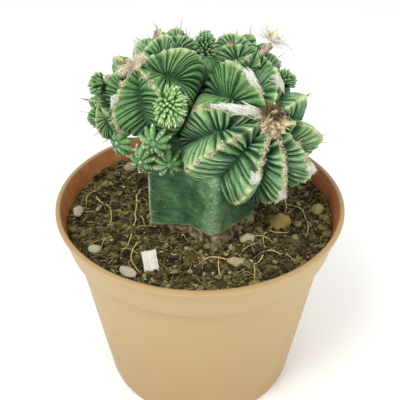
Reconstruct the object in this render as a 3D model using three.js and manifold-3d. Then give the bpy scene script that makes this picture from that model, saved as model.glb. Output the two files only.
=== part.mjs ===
// A cluster of Aztekium ritteri heads grafted on a green ribbed stock, in a pot of gritty soil.
// Millimetres, +Z up, the origin under the middle of the pot, the viewer's side towards -Y.
import * as THREE from "three";
import { mergeVertices } from "three/addons/utils/BufferGeometryUtils.js";
import Module from "manifold-3d";

const wasm = await Module();
wasm.setup();

// Pot
const rimRadius = 45;
const potHeight = 66;
const bandHeight = 12.4; // the wider band round the top
const bandFootRadius = 41.9;
const bodyTopRadius = 39.8;
const bodyFootRadius = 31.4;
const potWall = 1.4;
const footDepth = 2; // the floor stands this far above the ground
const footWidth = 3;
const potSides = 40; // a multiple of four, as the soil has the same sides
const notchCount = 10;
const notchWidth = 4.5;
const notchHeight = 1.3;
const notchTurn = -30; // degrees

// Soil
const soilLevel = 60;
const soilMound = 1.2; // how much higher it lies round the stem
const soilRough = 0.9;
const soilSides = potSides;
const soilInset = 0.35; // from the pot's inner wall
const soilRings = 6;
const clodCount = 20;

// Stem of the stock: the ribs of its section, and the furrow that follows each of them, with a direction in
// degrees and a reach from the stem's middle
const stemFoot = 55;
const stemTop = 91;
const stemRibs = [[75, 17.5], [148, 17], [201, 17.2], [283, 20.8], [345, 18.6]];
const stemFurrows = [[112, 11.5], [176, 12.5], [247, 11.2], [322, 14.5], [28, 11.5]];
const stemEdge = 0.1; // share of a face that its rib's blunt edge takes
const stemBlunt = 0.97; // share of its reach that the edge keeps
const stemSlant = 1.35; // clearance along the reach, for each millimetre square to a face
const stemSpines = 3; // along each rib, near its foot
const stemSpineGap = 3.2;

// Clearance between neighbouring pieces
const clearance = 0.3;
const coreInset = 0.8; // a round core's flat faces lie at this share of its corners' reach

// Shape that every head shares, as shares of the head's own radius
const rimAngle = 112; // degrees from the head's apex to its lower rim
const hollowDepth = 0.33;
const apexShare = 0.8;
const squash = 0.92;
const tipDrop = 0.1;
const lobeSwell = 0.07;
const pleatShare = 0.0275; // half height of a pleat
const fanPlace = 0.4; // where on the furrow the pleats of a hollow meet
const fanSpread = 0.22;

// Heads: the middle, the direction of the apex, the radius, pleats along a rib and half a rim,
// spines on a rib, and each rib's direction round the apex in degrees with its share of the radius
const headLayout = [
  {
    name: "head_right", centre: [14.5, -4, 91], axis: [0.31, -0.65, 0.69], radius: 21,
    ribPleats: 9, rimPleats: 2, spines: 2, seed: 3,
    ribs: [
      [-4, 1], [36, 0.95], [75, 0.98], [117, 1.06], [172, 1.06], [212, 1.04], [259, 1], [290, 1], [322, 1],
    ],
  },
  {
    name: "head_left", centre: [-13.5, 1, 103.5], axis: [-0.36, -0.46, 0.81], radius: 15.5,
    ribPleats: 8, rimPleats: 3, spines: 2, seed: 5,
    ribs: [[22, 1.02], [62, 1], [100, 0.92], [140, 0.95], [184, 1], [230, 1], [304, 1.04]],
  },
  {
    name: "head_far_left", centre: [-25, 4, 95.5], axis: [-0.62, -0.55, 0.56], radius: 9.5,
    ribPleats: 6, rimPleats: 1, spines: 1, seed: 15,
    ribs: [[15, 1.02], [62, 1], [110, 0.92], [160, 0.95], [205, 1], [250, 1], [300, 1]],
  },
  {
    name: "head_top_right", centre: [13.6, 16, 102.5], axis: [0.4, -0.35, 0.85], radius: 11.5,
    ribPleats: 7, rimPleats: 1, spines: 1, seed: 8,
    ribs: [[10, 1], [55, 1], [95, 1], [140, 1.05], [185, 1.15], [230, 1.1], [280, 1], [325, 1]],
  },
  {
    name: "head_top_left", centre: [-10, 14, 106.3], axis: [-0.25, -0.25, 0.93], radius: 10.5,
    ribPleats: 7, rimPleats: 1, spines: 1, seed: 9,
    ribs: [[10, 1], [55, 1], [100, 1], [150, 1], [200, 1.05], [245, 1], [290, 1], [330, 1]],
  },
  {
    name: "head_back_right", centre: [15, 18, 88], axis: [0.45, 0.75, 0.48], radius: 13,
    ribPleats: 5, rimPleats: 1, spines: 1, seed: 21,
    ribs: [[20, 1], [70, 1.04], [120, 1], [170, 1.03], [222, 1], [275, 1], [328, 1]],
  },
  {
    name: "head_back_left", centre: [-11, 19, 92], axis: [-0.45, 0.75, 0.48], radius: 13.5,
    ribPleats: 5, rimPleats: 1, spines: 1, seed: 27,
    ribs: [[0, 1], [50, 1.04], [100, 1], [150, 1], [205, 1.03], [258, 1], [310, 1]],
  },
];
const pleatMiddle = 0.42; // share of the way from furrow to rib where a pleat stands highest
const spineFrom = 0.58; // first spine's place along a rib, then one every spineStep
const spineStep = 0.3;
const spineLength = 2.6;
const spineRadius = 0.34;

// Offsets, wool and dried flowers: a round core with tapered arms that point out of it, inside `fan`
// degrees of its axis. One is placed in millimetres with at and axis, or on a head: rib, across and
// along as in hollowPoint, and lift above the surface.
const pupLayout = [
  {
    name: "pup_a", at: [-22.6, -3.6, 88], axis: [-0.6, -0.7, 0.3], core: 2.8,
    arms: 10, reach: 1.7, girth: 1.1, fan: 82,
  },
  {
    name: "pup_b", at: [-12.3, -12.5, 94.2], axis: [-0.2, -0.95, 0.1], core: 3,
    arms: 10, reach: 1.6, girth: 1.2, fan: 78,
  },
  {
    name: "pup_c", at: [-16.1, -7.8, 85.1], axis: [-0.4, -0.9, 0.1], core: 2.9,
    arms: 10, reach: 1.8, girth: 1.1, fan: 80,
  },
  {
    name: "pup_d", at: [-9.1, -10, 85.4], axis: [0.1, -0.98, 0.15], core: 2.9,
    arms: 10, reach: 1.7, girth: 1.1, fan: 78,
  },
  {
    name: "bunch_front", on: "head_left", rib: 6, across: -1, along: 0.56, lift: 0.6, core: 3.5,
    arms: 22, reach: 1.2, girth: 0.95, fan: 85, stretch: [1, 1.45, 1],
  },
  {
    name: "bunch_top", at: [1.3, 10.6, 111.4], axis: [0.1, -0.1, 0.99], core: 2.6,
    arms: 20, reach: 0.9, girth: 0.8, fan: 100, stretch: [1, 1.15, 2],
  },
  {
    name: "bunch_left", on: "head_left", rib: 4, across: -1, along: 0.5, lift: 0.3, core: 2.6,
    arms: 14, reach: 1.1, girth: 0.9, fan: 80,
  },
  {
    name: "bunch_right", at: [24.6, 5, 103.6], axis: [0.5, 0.1, 0.85], core: 2.6,
    arms: 14, reach: 1.1, girth: 0.9, fan: 80,
  },
];
const woolLayout = [
  {
    name: "wool_stripe", on: "head_right", rib: 4, across: -1, along: 0.33, lift: 0.9, core: 1.5, arms: 10,
    reach: 1.7, girth: 0.7, fan: 62, stretch: [3, 1, 1],
  },
  { name: "wool_a", on: "head_right", rib: 3, along: 0.32, core: 1.5, arms: 7, reach: 1.8, girth: 0.6 },
  { name: "wool_b", on: "head_right", rib: 2, along: 0.32, core: 1.4, arms: 7, reach: 1.7, girth: 0.6 },
  { name: "wool_c", on: "head_right", rib: 6, along: 0.5, core: 1.3, arms: 7, reach: 1.6, girth: 0.5 },
  { name: "wool_d", on: "head_right", rib: 8, along: 0.56, core: 1.5, arms: 8, reach: 1.9, girth: 0.5 },
  { name: "wool_e", on: "head_right", rib: 7, along: 0.62, core: 1.2, arms: 7, reach: 1.6, girth: 0.5 },
  { name: "wool_f", on: "head_left", rib: 5, along: 0.45, core: 1.3, arms: 7, reach: 1.6, girth: 0.5 },
].map((tuft) => ({ across: -1, lift: 0.6, fan: 60, ...tuft }));
const driedLayout = [
  { name: "dried_flower_right", on: "head_right", core: 2.6, arms: 15, reach: 3.6, girth: 0.6, fan: 70 },
  { name: "dried_flower_left", on: "head_left", core: 2.4, arms: 14, reach: 3.2, girth: 0.6, fan: 70 },
  { name: "dried_flower_top", on: "head_top_left", core: 1.4, arms: 7, reach: 1.6, girth: 0.5, fan: 60 },
].map((tuft) => ({ rib: 0, across: 0, along: 0, lift: 0.8, ...tuft }));

// Flower on the upper right head
const flowerSeat = { on: "head_top_right", rib: 7, across: 0, along: 0.12, lift: -0.4 };
const flowerAxis = [0.52, -0.1, 0.85];
const tubeLength = 7;
const tubeRadius = 1.1;
const petalLength = 6.4;
const petalWidth = 2;
const petalThickness = 0.6;
const petalRounds = [[7, 64, 1], [5, 30, 0.8]]; // petals, degrees from the axis, share of the length
const eyeRadius = 1.5;
const eyeArms = 7;

// Stones and chips on the soil: the middle, the half sizes and the turn in degrees
const stoneLayout = [
  { name: "stone_ochre", at: [25, -6.8, 61.4], half: [3.4, 2.8, 2.5], turn: 20 },
  { name: "stone_pale", at: [14.4, -15.4, 61.4], half: [2.5, 1.9, 1.7], turn: 20 },
  { name: "stone_front", at: [10.4, -26.2, 61], half: [2.3, 1.9, 1.6], turn: -15 },
  { name: "stone_right", at: [37.6, 0.8, 60.8], half: [2.6, 2, 1.7], turn: 70 },
  { name: "stone_back_right", at: [33.8, 18.2, 61.2], half: [2, 1.9, 2], turn: 10 },
  { name: "stone_left", at: [-31.3, -19.8, 60.9], half: [1.9, 1.6, 1.5], turn: 35 },
  { name: "stone_front_left", at: [-20.5, -30, 60.6], half: [2.8, 1.8, 1.5], turn: -40 },
  { name: "stone_rim_left", at: [-38.6, -0.6, 61], half: [1.7, 2.2, 1.6], turn: 5 },
  { name: "stone_back_left", at: [-24, 27, 60.6], half: [2.6, 2.2, 1.6], turn: 60 },
];
const chipAt = [-14.2, -27.8, 62];
const chipSize = [4.2, 2, 7.2];
const chipFlutes = 3;
const chipLean = 42; // degrees
const chipTurn = 16; // degrees

function randomFrom(seed) {
  let state = seed * 9301 + 49297;
  return () => {
    state = (state * 1103515245 + 12345) % 2147483648;
    return state / 2147483648;
  };
}

function mix(a, b, share) {
  return a + (b - a) * share;
}

function smoothStep(value) {
  const t = THREE.MathUtils.clamp(value, 0, 1);
  return t * t * (3 - 2 * t);
}

// Solids
function solidOf(geometry) {
  const bare = geometry.index ? geometry.toNonIndexed() : geometry.clone();
  bare.deleteAttribute("normal");
  bare.deleteAttribute("uv");
  const merged = mergeVertices(bare, 1e-4);
  const points = merged.attributes.position;
  const corners = Array.from(merged.index.array);
  const a = new THREE.Vector3();
  const b = new THREE.Vector3();
  const c = new THREE.Vector3();
  const kept = [];
  let volume = 0;
  for (let i = 0; i < corners.length; i += 3) {
    const [p, q, r] = corners.slice(i, i + 3);
    if (p !== q && q !== r && r !== p) {
      a.fromBufferAttribute(points, p);
      b.fromBufferAttribute(points, q);
      c.fromBufferAttribute(points, r);
      volume += a.dot(b.cross(c));
      kept.push(p, q, r);
    }
  }
  if (volume < 0) kept.reverse();
  const mesh = new wasm.Mesh({
    numProp: 3, vertProperties: new Float32Array(points.array), triVerts: new Uint32Array(kept),
  });
  mesh.merge();
  return new wasm.Manifold(mesh);
}

function trianglesGeometry(list) {
  const geometry = new THREE.BufferGeometry();
  const flat = list.flatMap((point) => [point.x, point.y, point.z]);
  geometry.setAttribute("position", new THREE.Float32BufferAttribute(flat, 3));
  return geometry;
}

function addStrip(list, upper, lower) {
  for (let i = 0; i + 1 < upper.length; i += 1) {
    list.push(upper[i], lower[i], lower[i + 1]);
    list.push(upper[i], lower[i + 1], upper[i + 1]);
  }
}

function largestPiece(solid) {
  const pieces = solid.decompose();
  return pieces.reduce((best, piece) => (piece.volume() > best.volume() ? piece : best));
}

function overlaps(one, other) {
  const a = one.boundingBox();
  const b = other.boundingBox();
  return [0, 1, 2].every((i) => a.min[i] < b.max[i] && b.min[i] < a.max[i]);
}

function cutBy(solid, cutters) {
  return cutters.reduce((left, cutter) => (overlaps(left, cutter) ? left.subtract(cutter) : left), solid);
}

function turnTo(axis) {
  return new THREE.Quaternion().setFromUnitVectors(new THREE.Vector3(0, 1, 0), axis.clone().normalize());
}

function coneAt(root, axis, length, radius, sides, tipShare = 0) {
  const geometry = tipShare > 0
    ? new THREE.CylinderGeometry(radius * tipShare, radius, length, sides)
    : new THREE.ConeGeometry(radius, length, sides);
  geometry.translate(0, length / 2, 0);
  geometry.applyQuaternion(turnTo(axis));
  geometry.translate(root.x, root.y, root.z);
  return solidOf(geometry);
}

// Pot
function latheUp(profile, sides) {
  const geometry = new THREE.LatheGeometry(profile.map(([r, z]) => new THREE.Vector2(r, z)), sides);
  geometry.rotateX(Math.PI / 2);
  return solidOf(geometry);
}

const bandFoot = potHeight - bandHeight;
const potFloor = footDepth + potWall;

function makePot() {
  const edge = 0.5;
  const shell = latheUp([
    [0, footDepth], [bodyFootRadius - footWidth, footDepth], [bodyFootRadius - footWidth + edge, 0],
    [bodyFootRadius - 2 * edge, 0], [bodyFootRadius - edge / 2, edge], [bodyFootRadius + edge / 4, 4 * edge],
    [bodyTopRadius, bandFoot], [bandFootRadius, bandFoot], [rimRadius, potHeight - edge],
    [rimRadius - edge, potHeight], [rimRadius - potWall, potHeight - edge / 2],
    [bandFootRadius - potWall, bandFoot + potWall], [bodyTopRadius - potWall, bandFoot - potWall / 2],
    [bodyFootRadius - potWall + edge / 4, potFloor + 2 * edge],
    [bodyFootRadius - potWall - 2 * edge, potFloor], [0, potFloor],
  ], potSides);
  const notches = [];
  for (let i = 0; i < notchCount; i += 1) {
    const notch = new THREE.BoxGeometry(3 * footWidth, notchWidth, 2 * notchHeight);
    notch.translate(bodyFootRadius - footWidth / 2, 0, 0);
    notch.rotateZ(THREE.MathUtils.degToRad(notchTurn + (360 / notchCount) * i));
    notches.push(solidOf(notch));
  }
  return cutBy(shell, notches);
}

// Stem of the stock: flat faces run from a rib's blunt edge to the furrow beside it
function stemSection(share, grow) {
  const corner = ([direction, reach]) => {
    const turn = THREE.MathUtils.degToRad(direction);
    const away = reach * share + grow * stemSlant;
    return new THREE.Vector3(away * Math.cos(turn), away * Math.sin(turn), 0);
  };
  return stemRibs.flatMap((rib, i) => {
    const edge = corner(rib);
    const after = corner(stemFurrows[i]);
    return [
      edge.clone().lerp(corner(stemFurrows.at(i - 1)), stemEdge), edge.clone().multiplyScalar(stemBlunt),
      edge.clone().lerp(after, stemEdge), after,
    ];
  });
}

function makeStem(grow) {
  const levels = [
    [stemFoot, 0.88], [soilLevel - 1, 0.99], [soilLevel + 4, 1],
    [stemTop - 9, 1], [stemTop - 3, 0.9], [stemTop, 0.6],
  ];
  const list = [];
  const rings = levels.map(([level, share], index) => {
    const ends = index === 0 ? -grow : index === levels.length - 1 ? grow : 0;
    const points = stemSection(share, grow).map((point) => point.setZ(level + ends));
    return [...points, points[0]];
  });
  for (let i = 0; i + 1 < rings.length; i += 1) addStrip(list, rings[i + 1], rings[i]);
  const foot = rings[0][0].clone().setX(0).setY(0);
  const top = rings[rings.length - 1][0].clone().setX(0).setY(0);
  addStrip(list, rings[0], rings[0].map(() => foot));
  addStrip(list, rings[rings.length - 1].map(() => top), rings[rings.length - 1]);
  return solidOf(trianglesGeometry(list));
}

function addStemSpines(stem) {
  let solid = stem;
  for (const [direction, reach] of stemRibs) {
    const turn = THREE.MathUtils.degToRad(direction);
    const out = new THREE.Vector3(Math.cos(turn), Math.sin(turn), 0.25);
    for (let i = 0; i < stemSpines; i += 1) {
      const level = soilLevel + stemSpineGap * (i + 1);
      const root = new THREE.Vector3(Math.cos(turn), Math.sin(turn), 0).multiplyScalar(reach - 0.9);
      solid = solid.add(coneAt(root.setZ(level), out, 2.4, 0.45, 3));
    }
  }
  return solid;
}

// Heads: ribs stand round the apex, and between two ribs lies a leaf-shaped hollow with fanned pleats.
// across runs from -1 on one rib to 1 on the next, along from 0 at the apex to 1 at the lower rim.
function hollowPoint(head, rib, across, along) {
  const [start, scale] = head.ribs[rib];
  const [end, nextScale] = head.ribs[(rib + 1) % head.ribs.length];
  const span = (end - start + 360) % 360;
  const side = (across + 1) / 2;
  const turn = THREE.MathUtils.degToRad(start + span * side);
  const ownScale = 1 + (mix(scale, nextScale, smoothStep(side)) - 1) * smoothStep(along / 0.3);
  const inFurrow = 1 - Math.abs(across);
  const polar = THREE.MathUtils.degToRad(rimAngle) * along * (1 + tipDrop * Math.sqrt(inFurrow) * along ** 2);
  const depth = hollowDepth * Math.sin(Math.PI * along ** 0.75) ** 0.75;
  const shoulder = Math.sin(Math.min(polar / 1.4, 1) * (Math.PI / 2)) ** 1.5;
  const tuck = 1 - 0.05 * Math.max(0, (polar - 1.4) / 0.6) ** 2;
  const swell = mix(apexShare, 1, shoulder) * tuck * (1 + lobeSwell * inFurrow ** 1.3 * along ** 4);
  const reach = head.radius * ownScale * swell * (1 - (depth || 0) * inFurrow ** 1.3);
  const flat = reach * Math.sin(polar);
  return new THREE.Vector3(flat * Math.cos(turn), flat * Math.sin(turn), reach * Math.cos(polar) * squash);
}

// One half of a hollow: rays run from the furrow to the rib and the rim, a groove and a ridge by turns
function halfHollow(head, rib, side, fan) {
  const span = (head.ribs[(rib + 1) % head.ribs.length][0] - head.ribs[rib][0] + 360) % 360;
  const half = THREE.MathUtils.degToRad(span / 2);
  const ribSteps = head.ribPleats * 2;
  const rimSteps = head.rimPleats * 2;
  const rays = [];
  for (let i = 0; i <= ribSteps + rimSteps; i += 1) {
    const onRim = Math.max(0, i - ribSteps) / rimSteps;
    const along = Math.min(i / ribSteps, 1);
    const edge = new THREE.Vector2(0, along).rotateAround(new THREE.Vector2(), -side * half * (1 - onRim));
    const rootStep = Math.min(Math.round(i / 4) * 4, ribSteps) / ribSteps;
    const root = new THREE.Vector2(0, mix(fan, rootStep * Math.cos(half), fanSpread));
    const ray = [0, pleatMiddle, 1].map((share) => {
      const place = root.clone().lerp(edge, share);
      const reach = place.length();
      const across = THREE.MathUtils.clamp(Math.atan2(place.x, place.y) / half, -1, 1);
      const point = hollowPoint(head, rib, across, Math.min(reach, 1));
      const fade = Math.min(share / 0.25, 1) ** 0.8 * (1 - 0.45 * Math.max(0, (share - 0.6) / 0.4));
      const height = (i % 2 ? 0.8 : -1.2) * pleatShare * head.radius * fade * Math.min(reach / 0.12, 1);
      return point.addScaledVector(point.clone().normalize(), height);
    });
    rays.push(ray);
  }
  return rays;
}

function makeHead(head) {
  const random = randomFrom(head.seed);
  const list = [];
  const rimSteps = head.rimPleats * 2;
  const drop = (point, share, lower) => new THREE.Vector3(
    point.x * share, point.y * share, point.z - lower * head.radius,
  );
  head.ribs.forEach((unused, rib) => {
    const fan = fanPlace + (random() - 0.5) * 0.1;
    const left = halfHollow(head, rib, -1, fan);
    const right = halfHollow(head, rib, 1, fan);
    for (let i = 0; i + 1 < right.length; i += 1) {
      addStrip(list, right[i], right[i + 1]);
      addStrip(list, left[i + 1], left[i]);
    }
    const rim = [...left.slice(-rimSteps - 1), ...right.slice(-rimSteps - 1, -1).reverse()]
      .map((ray) => ray[ray.length - 1]);
    const under = rim.map((point) => drop(point, 0.6, 0.26));
    const middle = rim.map(() => new THREE.Vector3(0, 0, -0.8 * head.radius));
    [rim, under, middle].reduce((upper, lower) => {
      addStrip(list, upper, lower);
      return lower;
    });
  });
  let solid = solidOf(trianglesGeometry(list));
  head.ribs.forEach((unused, rib) => {
    for (let i = 0; i < head.spines; i += 1) {
      const crest = hollowPoint(head, rib, -1, spineFrom + spineStep * i);
      const out = crest.clone().normalize();
      const lean = out.clone().add(new THREE.Vector3(0, 0, 0.5));
      solid = solid.add(coneAt(crest.addScaledVector(out, -0.7), lean, spineLength, spineRadius, 3));
    }
  });
  return solid.transform(headPlace(head).toArray());
}

function headPlace(head) {
  return new THREE.Matrix4().compose(
    new THREE.Vector3(...head.centre), headTurn(head.axis), new THREE.Vector3(1, 1, 1),
  );
}

// The head's own X stays level with the world's X, so that rib directions read the same on every head
function headTurn(axis) {
  const up = new THREE.Vector3(...axis).normalize();
  const side = new THREE.Vector3(1, 0, 0).addScaledVector(up, -up.x).normalize();
  const back = new THREE.Vector3().crossVectors(up, side);
  return new THREE.Quaternion().setFromRotationMatrix(new THREE.Matrix4().makeBasis(side, back, up));
}

// Two heads that meet press flat against each other, nearer to the smaller one's middle
function trimToNeighbours(solid, head) {
  const middle = new THREE.Vector3(...head.centre);
  return headLayout.reduce((left, other) => {
    const towards = new THREE.Vector3(...other.centre).sub(middle);
    const apart = towards.length();
    if (other === head || apart > head.radius + other.radius + 3) return left;
    const reach = (apart ** 2 + head.radius ** 2 - other.radius ** 2) / (2 * apart) - clearance / 2;
    const away = towards.divideScalar(-apart);
    return left.trimByPlane(away.toArray(), away.dot(middle) - reach);
  }, solid);
}

// Offsets, wool and dried flowers
function seatOf(tuft) {
  if (tuft.at) {
    return { at: new THREE.Vector3(...tuft.at), axis: new THREE.Vector3(...tuft.axis).normalize() };
  }
  const head = headLayout.find(({ name }) => name === tuft.on);
  const spot = hollowPoint(head, tuft.rib, tuft.across, tuft.along);
  const axis = spot.clone().normalize();
  return {
    at: spot.addScaledVector(axis, tuft.lift).applyMatrix4(headPlace(head)),
    axis: axis.applyQuaternion(headTurn(head.axis)),
  };
}

function tuftCore(tuft, grow) {
  const { at, axis } = seatOf(tuft);
  const core = new THREE.IcosahedronGeometry(tuft.core + grow, 0);
  core.scale(...(tuft.stretch ?? [1, 1, 1]));
  core.applyQuaternion(headTurn(axis.toArray()));
  core.translate(at.x, at.y, at.z);
  return solidOf(core);
}

function makeTuft(tuft, sides, grow) {
  const random = randomFrom(tuft.arms * 7 + Math.round(tuft.core * 10));
  const { at: middle, axis } = seatOf(tuft);
  const turn = headTurn(axis.toArray());
  const stretch = new THREE.Vector3(...(tuft.stretch ?? [1, 1, 1]));
  let solid = tuftCore(tuft, grow);
  const widest = 1 - Math.cos(THREE.MathUtils.degToRad(tuft.fan));
  for (let i = 0; i < tuft.arms; i += 1) {
    const height = 1 - widest * ((i + 0.5) / tuft.arms);
    const round = i * 2.39996 + random() * 0.4;
    const flat = Math.sqrt(Math.max(0, 1 - height ** 2));
    const out = new THREE.Vector3(flat * Math.cos(round), flat * Math.sin(round), height);
    const inside = out.clone().multiply(stretch).multiplyScalar(tuft.core * 0.6);
    const root = inside.applyQuaternion(turn).add(middle);
    const lean = out.clone().divide(stretch).normalize().applyQuaternion(turn).addScaledVector(axis, 0.15);
    const length = tuft.core * 0.4 + tuft.reach * (0.8 + 0.4 * random()) + grow;
    solid = solid.add(coneAt(root, lean, length + grow, tuft.girth + grow, sides));
  }
  return solid;
}

// Flower: a short tube, two rounds of petals and a round eye
function petalSolid(root, axis, length, grow) {
  const half = petalThickness / 2 + grow;
  const wide = petalWidth / 2 + grow;
  const sections = [[0, 0.4], [0.62, 1], [1, 0.25]];
  const list = [];
  const rings = sections.map(([share, width]) => {
    const arch = Math.sin(share * 2.2) * length * 0.14;
    const corners = [[wide * width, 0], [0, half], [-wide * width, 0], [0, -half], [wide * width, 0]];
    return corners.map(([x, z]) => new THREE.Vector3(x, share * (length + grow), z + arch));
  });
  for (let i = 0; i + 1 < rings.length; i += 1) addStrip(list, rings[i], rings[i + 1]);
  const first = rings[0];
  const last = rings[rings.length - 1];
  list.push(first[0], first[1], first[2], first[0], first[2], first[3]);
  list.push(last[0], last[2], last[1], last[0], last[3], last[2]);
  const geometry = trianglesGeometry(list);
  const up = new THREE.Vector3(...flowerAxis).normalize();
  const along = axis.clone().normalize();
  const side = new THREE.Vector3().crossVectors(along, up).normalize();
  const face = new THREE.Vector3().crossVectors(side, along);
  geometry.applyMatrix4(new THREE.Matrix4().makeBasis(side, along, face));
  geometry.translate(root.x, root.y, root.z);
  return solidOf(geometry);
}

function makeFlower(grow) {
  const foot = seatOf(flowerSeat).at;
  const up = new THREE.Vector3(...flowerAxis).normalize();
  const turn = headTurn(flowerAxis);
  const throat = foot.clone().addScaledVector(up, tubeLength - 0.8);
  const root = foot.clone().addScaledVector(up, -1 - grow);
  let solid = coneAt(root, up, tubeLength + 1 + 2 * grow, tubeRadius + grow, 8, 1.3);
  for (const [count, tilt, share] of petalRounds) {
    const lean = THREE.MathUtils.degToRad(tilt);
    for (let i = 0; i < count; i += 1) {
      const round = ((i + tilt / 90) / count) * 2 * Math.PI;
      const out = new THREE.Vector3(
        Math.sin(lean) * Math.cos(round), Math.sin(lean) * Math.sin(round), Math.cos(lean),
      ).applyQuaternion(turn);
      const petal = petalSolid(throat.clone().addScaledVector(out, 0.5), out, petalLength * share, grow);
      solid = solid.add(petal);
    }
  }
  return solid;
}

function makeEye(grow) {
  const up = new THREE.Vector3(...flowerAxis).normalize();
  const at = seatOf(flowerSeat).at.addScaledVector(up, tubeLength + 1.5);
  const seat = { at: at.toArray(), axis: flowerAxis };
  return makeTuft({ ...seat, core: eyeRadius, arms: eyeArms, reach: 0.7, girth: 0.35, fan: 65 }, 3, grow);
}

// Stones and the fluted chip
function makeStone(stone, grow) {
  const random = randomFrom(Math.round(stone.half[0] * 100 + stone.turn));
  const geometry = new THREE.IcosahedronGeometry(1, stone.half[0] > 3 ? 1 : 0);
  const points = geometry.attributes.position;
  const dents = Array.from({ length: 5 }, () => (
    new THREE.Vector3(random() - 0.5, random() - 0.5, random() - 0.5).normalize()
  ));
  for (let i = 0; i < points.count; i += 1) {
    const point = new THREE.Vector3().fromBufferAttribute(points, i);
    for (const dent of dents) {
      const above = point.dot(dent) - 0.72;
      if (above > 0) point.addScaledVector(dent, -above);
    }
    points.setXYZ(i, ...point.multiply(new THREE.Vector3(...stone.half).addScalar(grow)).toArray());
  }
  geometry.rotateZ(THREE.MathUtils.degToRad(stone.turn));
  geometry.translate(...stone.at);
  return solidOf(geometry);
}

function makeChip(grow) {
  const [wide, thick, tall] = chipSize;
  const outline = new THREE.Shape();
  outline.moveTo(-wide / 2 - grow, -thick / 2 - grow);
  outline.lineTo(wide / 2 + grow, -thick / 2 - grow);
  for (let i = 0; i <= chipFlutes * 2; i += 1) {
    const share = 1 - i / (chipFlutes * 2);
    outline.lineTo((share - 0.5) * (wide + 2 * grow), thick / 2 + grow - (i % 2 ? 0.7 : 0));
  }
  const geometry = new THREE.ExtrudeGeometry(outline, { depth: tall + 2 * grow, bevelEnabled: false });
  geometry.translate(0, 0, -tall / 2 - grow);
  geometry.rotateZ(Math.PI);
  geometry.rotateX(THREE.MathUtils.degToRad(-chipLean));
  geometry.rotateZ(THREE.MathUtils.degToRad(chipTurn));
  geometry.translate(...chipAt);
  return solidOf(geometry);
}

// Soil: a rough disc that fills the pot, with clods that stand out of it
function soilHeight(x, y) {
  const away = Math.hypot(x, y);
  const waves = Math.sin(x * 0.42 + 1.3) * Math.cos(y * 0.37) + 0.6 * Math.sin(x * 0.9 - y * 0.7);
  return soilLevel + soilMound * Math.exp(-((away / 26) ** 2)) + soilRough * 0.4 * waves;
}

function makeSoil() {
  const random = randomFrom(77);
  const innerTop = mix(bandFootRadius, rimRadius, (soilLevel - bandFoot) / bandHeight) - potWall - soilInset;
  const list = [];
  const ringAt = (radius, height) => {
    const points = [];
    for (let i = 0; i < soilSides; i += 1) {
      const turn = (2 * Math.PI * i) / soilSides;
      points.push(new THREE.Vector3(radius * Math.cos(turn), radius * Math.sin(turn), height));
    }
    return [...points, points[0]];
  };
  const middle = ringAt(0, soilLevel + soilMound);
  const top = Array.from({ length: soilRings }, (unused, index) => {
    const outermost = index === soilRings - 1;
    const ring = ringAt(((index + 1) / soilRings) * (innerTop - 0.6), 0).slice(0, -1);
    ring.forEach((point) => {
      const drift = outermost ? 0 : 1.1;
      point.x += (random() - 0.5) * drift;
      point.y += (random() - 0.5) * drift;
      point.z = soilHeight(point.x, point.y) + (random() - 0.5) * soilRough;
    });
    return [...ring, ring[0]];
  });
  const side = [
    ringAt(innerTop - 0.6, soilLevel - 2.2),
    ringAt(bandFootRadius - potWall - soilInset, bandFoot + potWall + soilInset),
    ringAt(bodyTopRadius - potWall - soilInset, bandFoot - potWall / 2),
    ringAt(bodyFootRadius - potWall - soilInset - 0.5, potFloor + 1.6),
    ringAt(bodyFootRadius - potWall - 2, potFloor + soilInset),
    ringAt(0, potFloor + soilInset),
  ];
  [middle, ...top, ...side].reduce((inner, outer) => {
    addStrip(list, inner, outer);
    return outer;
  });
  let solid = solidOf(trianglesGeometry(list));
  for (let i = 0; i < clodCount; i += 1) {
    const turn = random() * 2 * Math.PI;
    const away = mix(20, innerTop - 4, Math.sqrt(random()));
    const size = mix(0.8, 2, random() ** 2);
    const clod = new THREE.OctahedronGeometry(1, 0);
    clod.scale(size * 1.3, size, size * 0.8);
    clod.rotateX(random() * 2);
    clod.rotateZ(random() * 6);
    const x = away * Math.cos(turn);
    const y = away * Math.sin(turn);
    clod.translate(x, y, soilHeight(x, y) + 0.1);
    solid = solid.add(solidOf(clod));
  }
  return solid;
}

// Assembly
const colours = {
  pot: 0xc98f5e, soil: 0x3b2f22, stem: 0x2f5a3c, head: 0x3f7a45, pup: 0x5f9a50, wool: 0xece9df,
  dried: 0xb89468, petal: 0xf6f4f0, eye: 0xe8c53a, stone: 0xa39a86, chip: 0xd9d5ca,
};
const part = new THREE.Group();

function place(name, solid, colour, roughness) {
  const { vertProperties, triVerts, numProp } = largestPiece(solid).getMesh();
  const geometry = new THREE.BufferGeometry();
  geometry.setAttribute("position", new THREE.Float32BufferAttribute(vertProperties, numProp));
  geometry.setIndex(Array.from(triVerts));
  const material = new THREE.MeshStandardMaterial({ color: colour, roughness, metalness: 0 });
  const mesh = new THREE.Mesh(geometry, material);
  mesh.name = name;
  part.add(mesh);
}

// Each small piece comes with the room that it takes: its core, and its whole shape grown by the clearance
const smallPieces = [
  ...pupLayout.map((tuft) => ({ tuft, colour: colours.pup, sides: 4 })),
  ...driedLayout.map((tuft) => ({ tuft, colour: colours.dried, sides: 3 })),
  ...woolLayout.map((tuft) => ({ tuft, colour: colours.wool, sides: 3 })),
].map(({ tuft, colour, sides }) => ({
  name: tuft.name, colour, solid: makeTuft(tuft, sides, 0), room: makeTuft(tuft, sides, clearance),
  coreRoom: tuftCore(tuft, clearance / coreInset),
}));
smallPieces.push({ name: "flower_eye", colour: colours.eye, solid: makeEye(0), room: makeEye(clearance) });
smallPieces.push({
  name: "flower", colour: colours.petal, solid: makeFlower(0), room: makeFlower(clearance),
});

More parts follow.
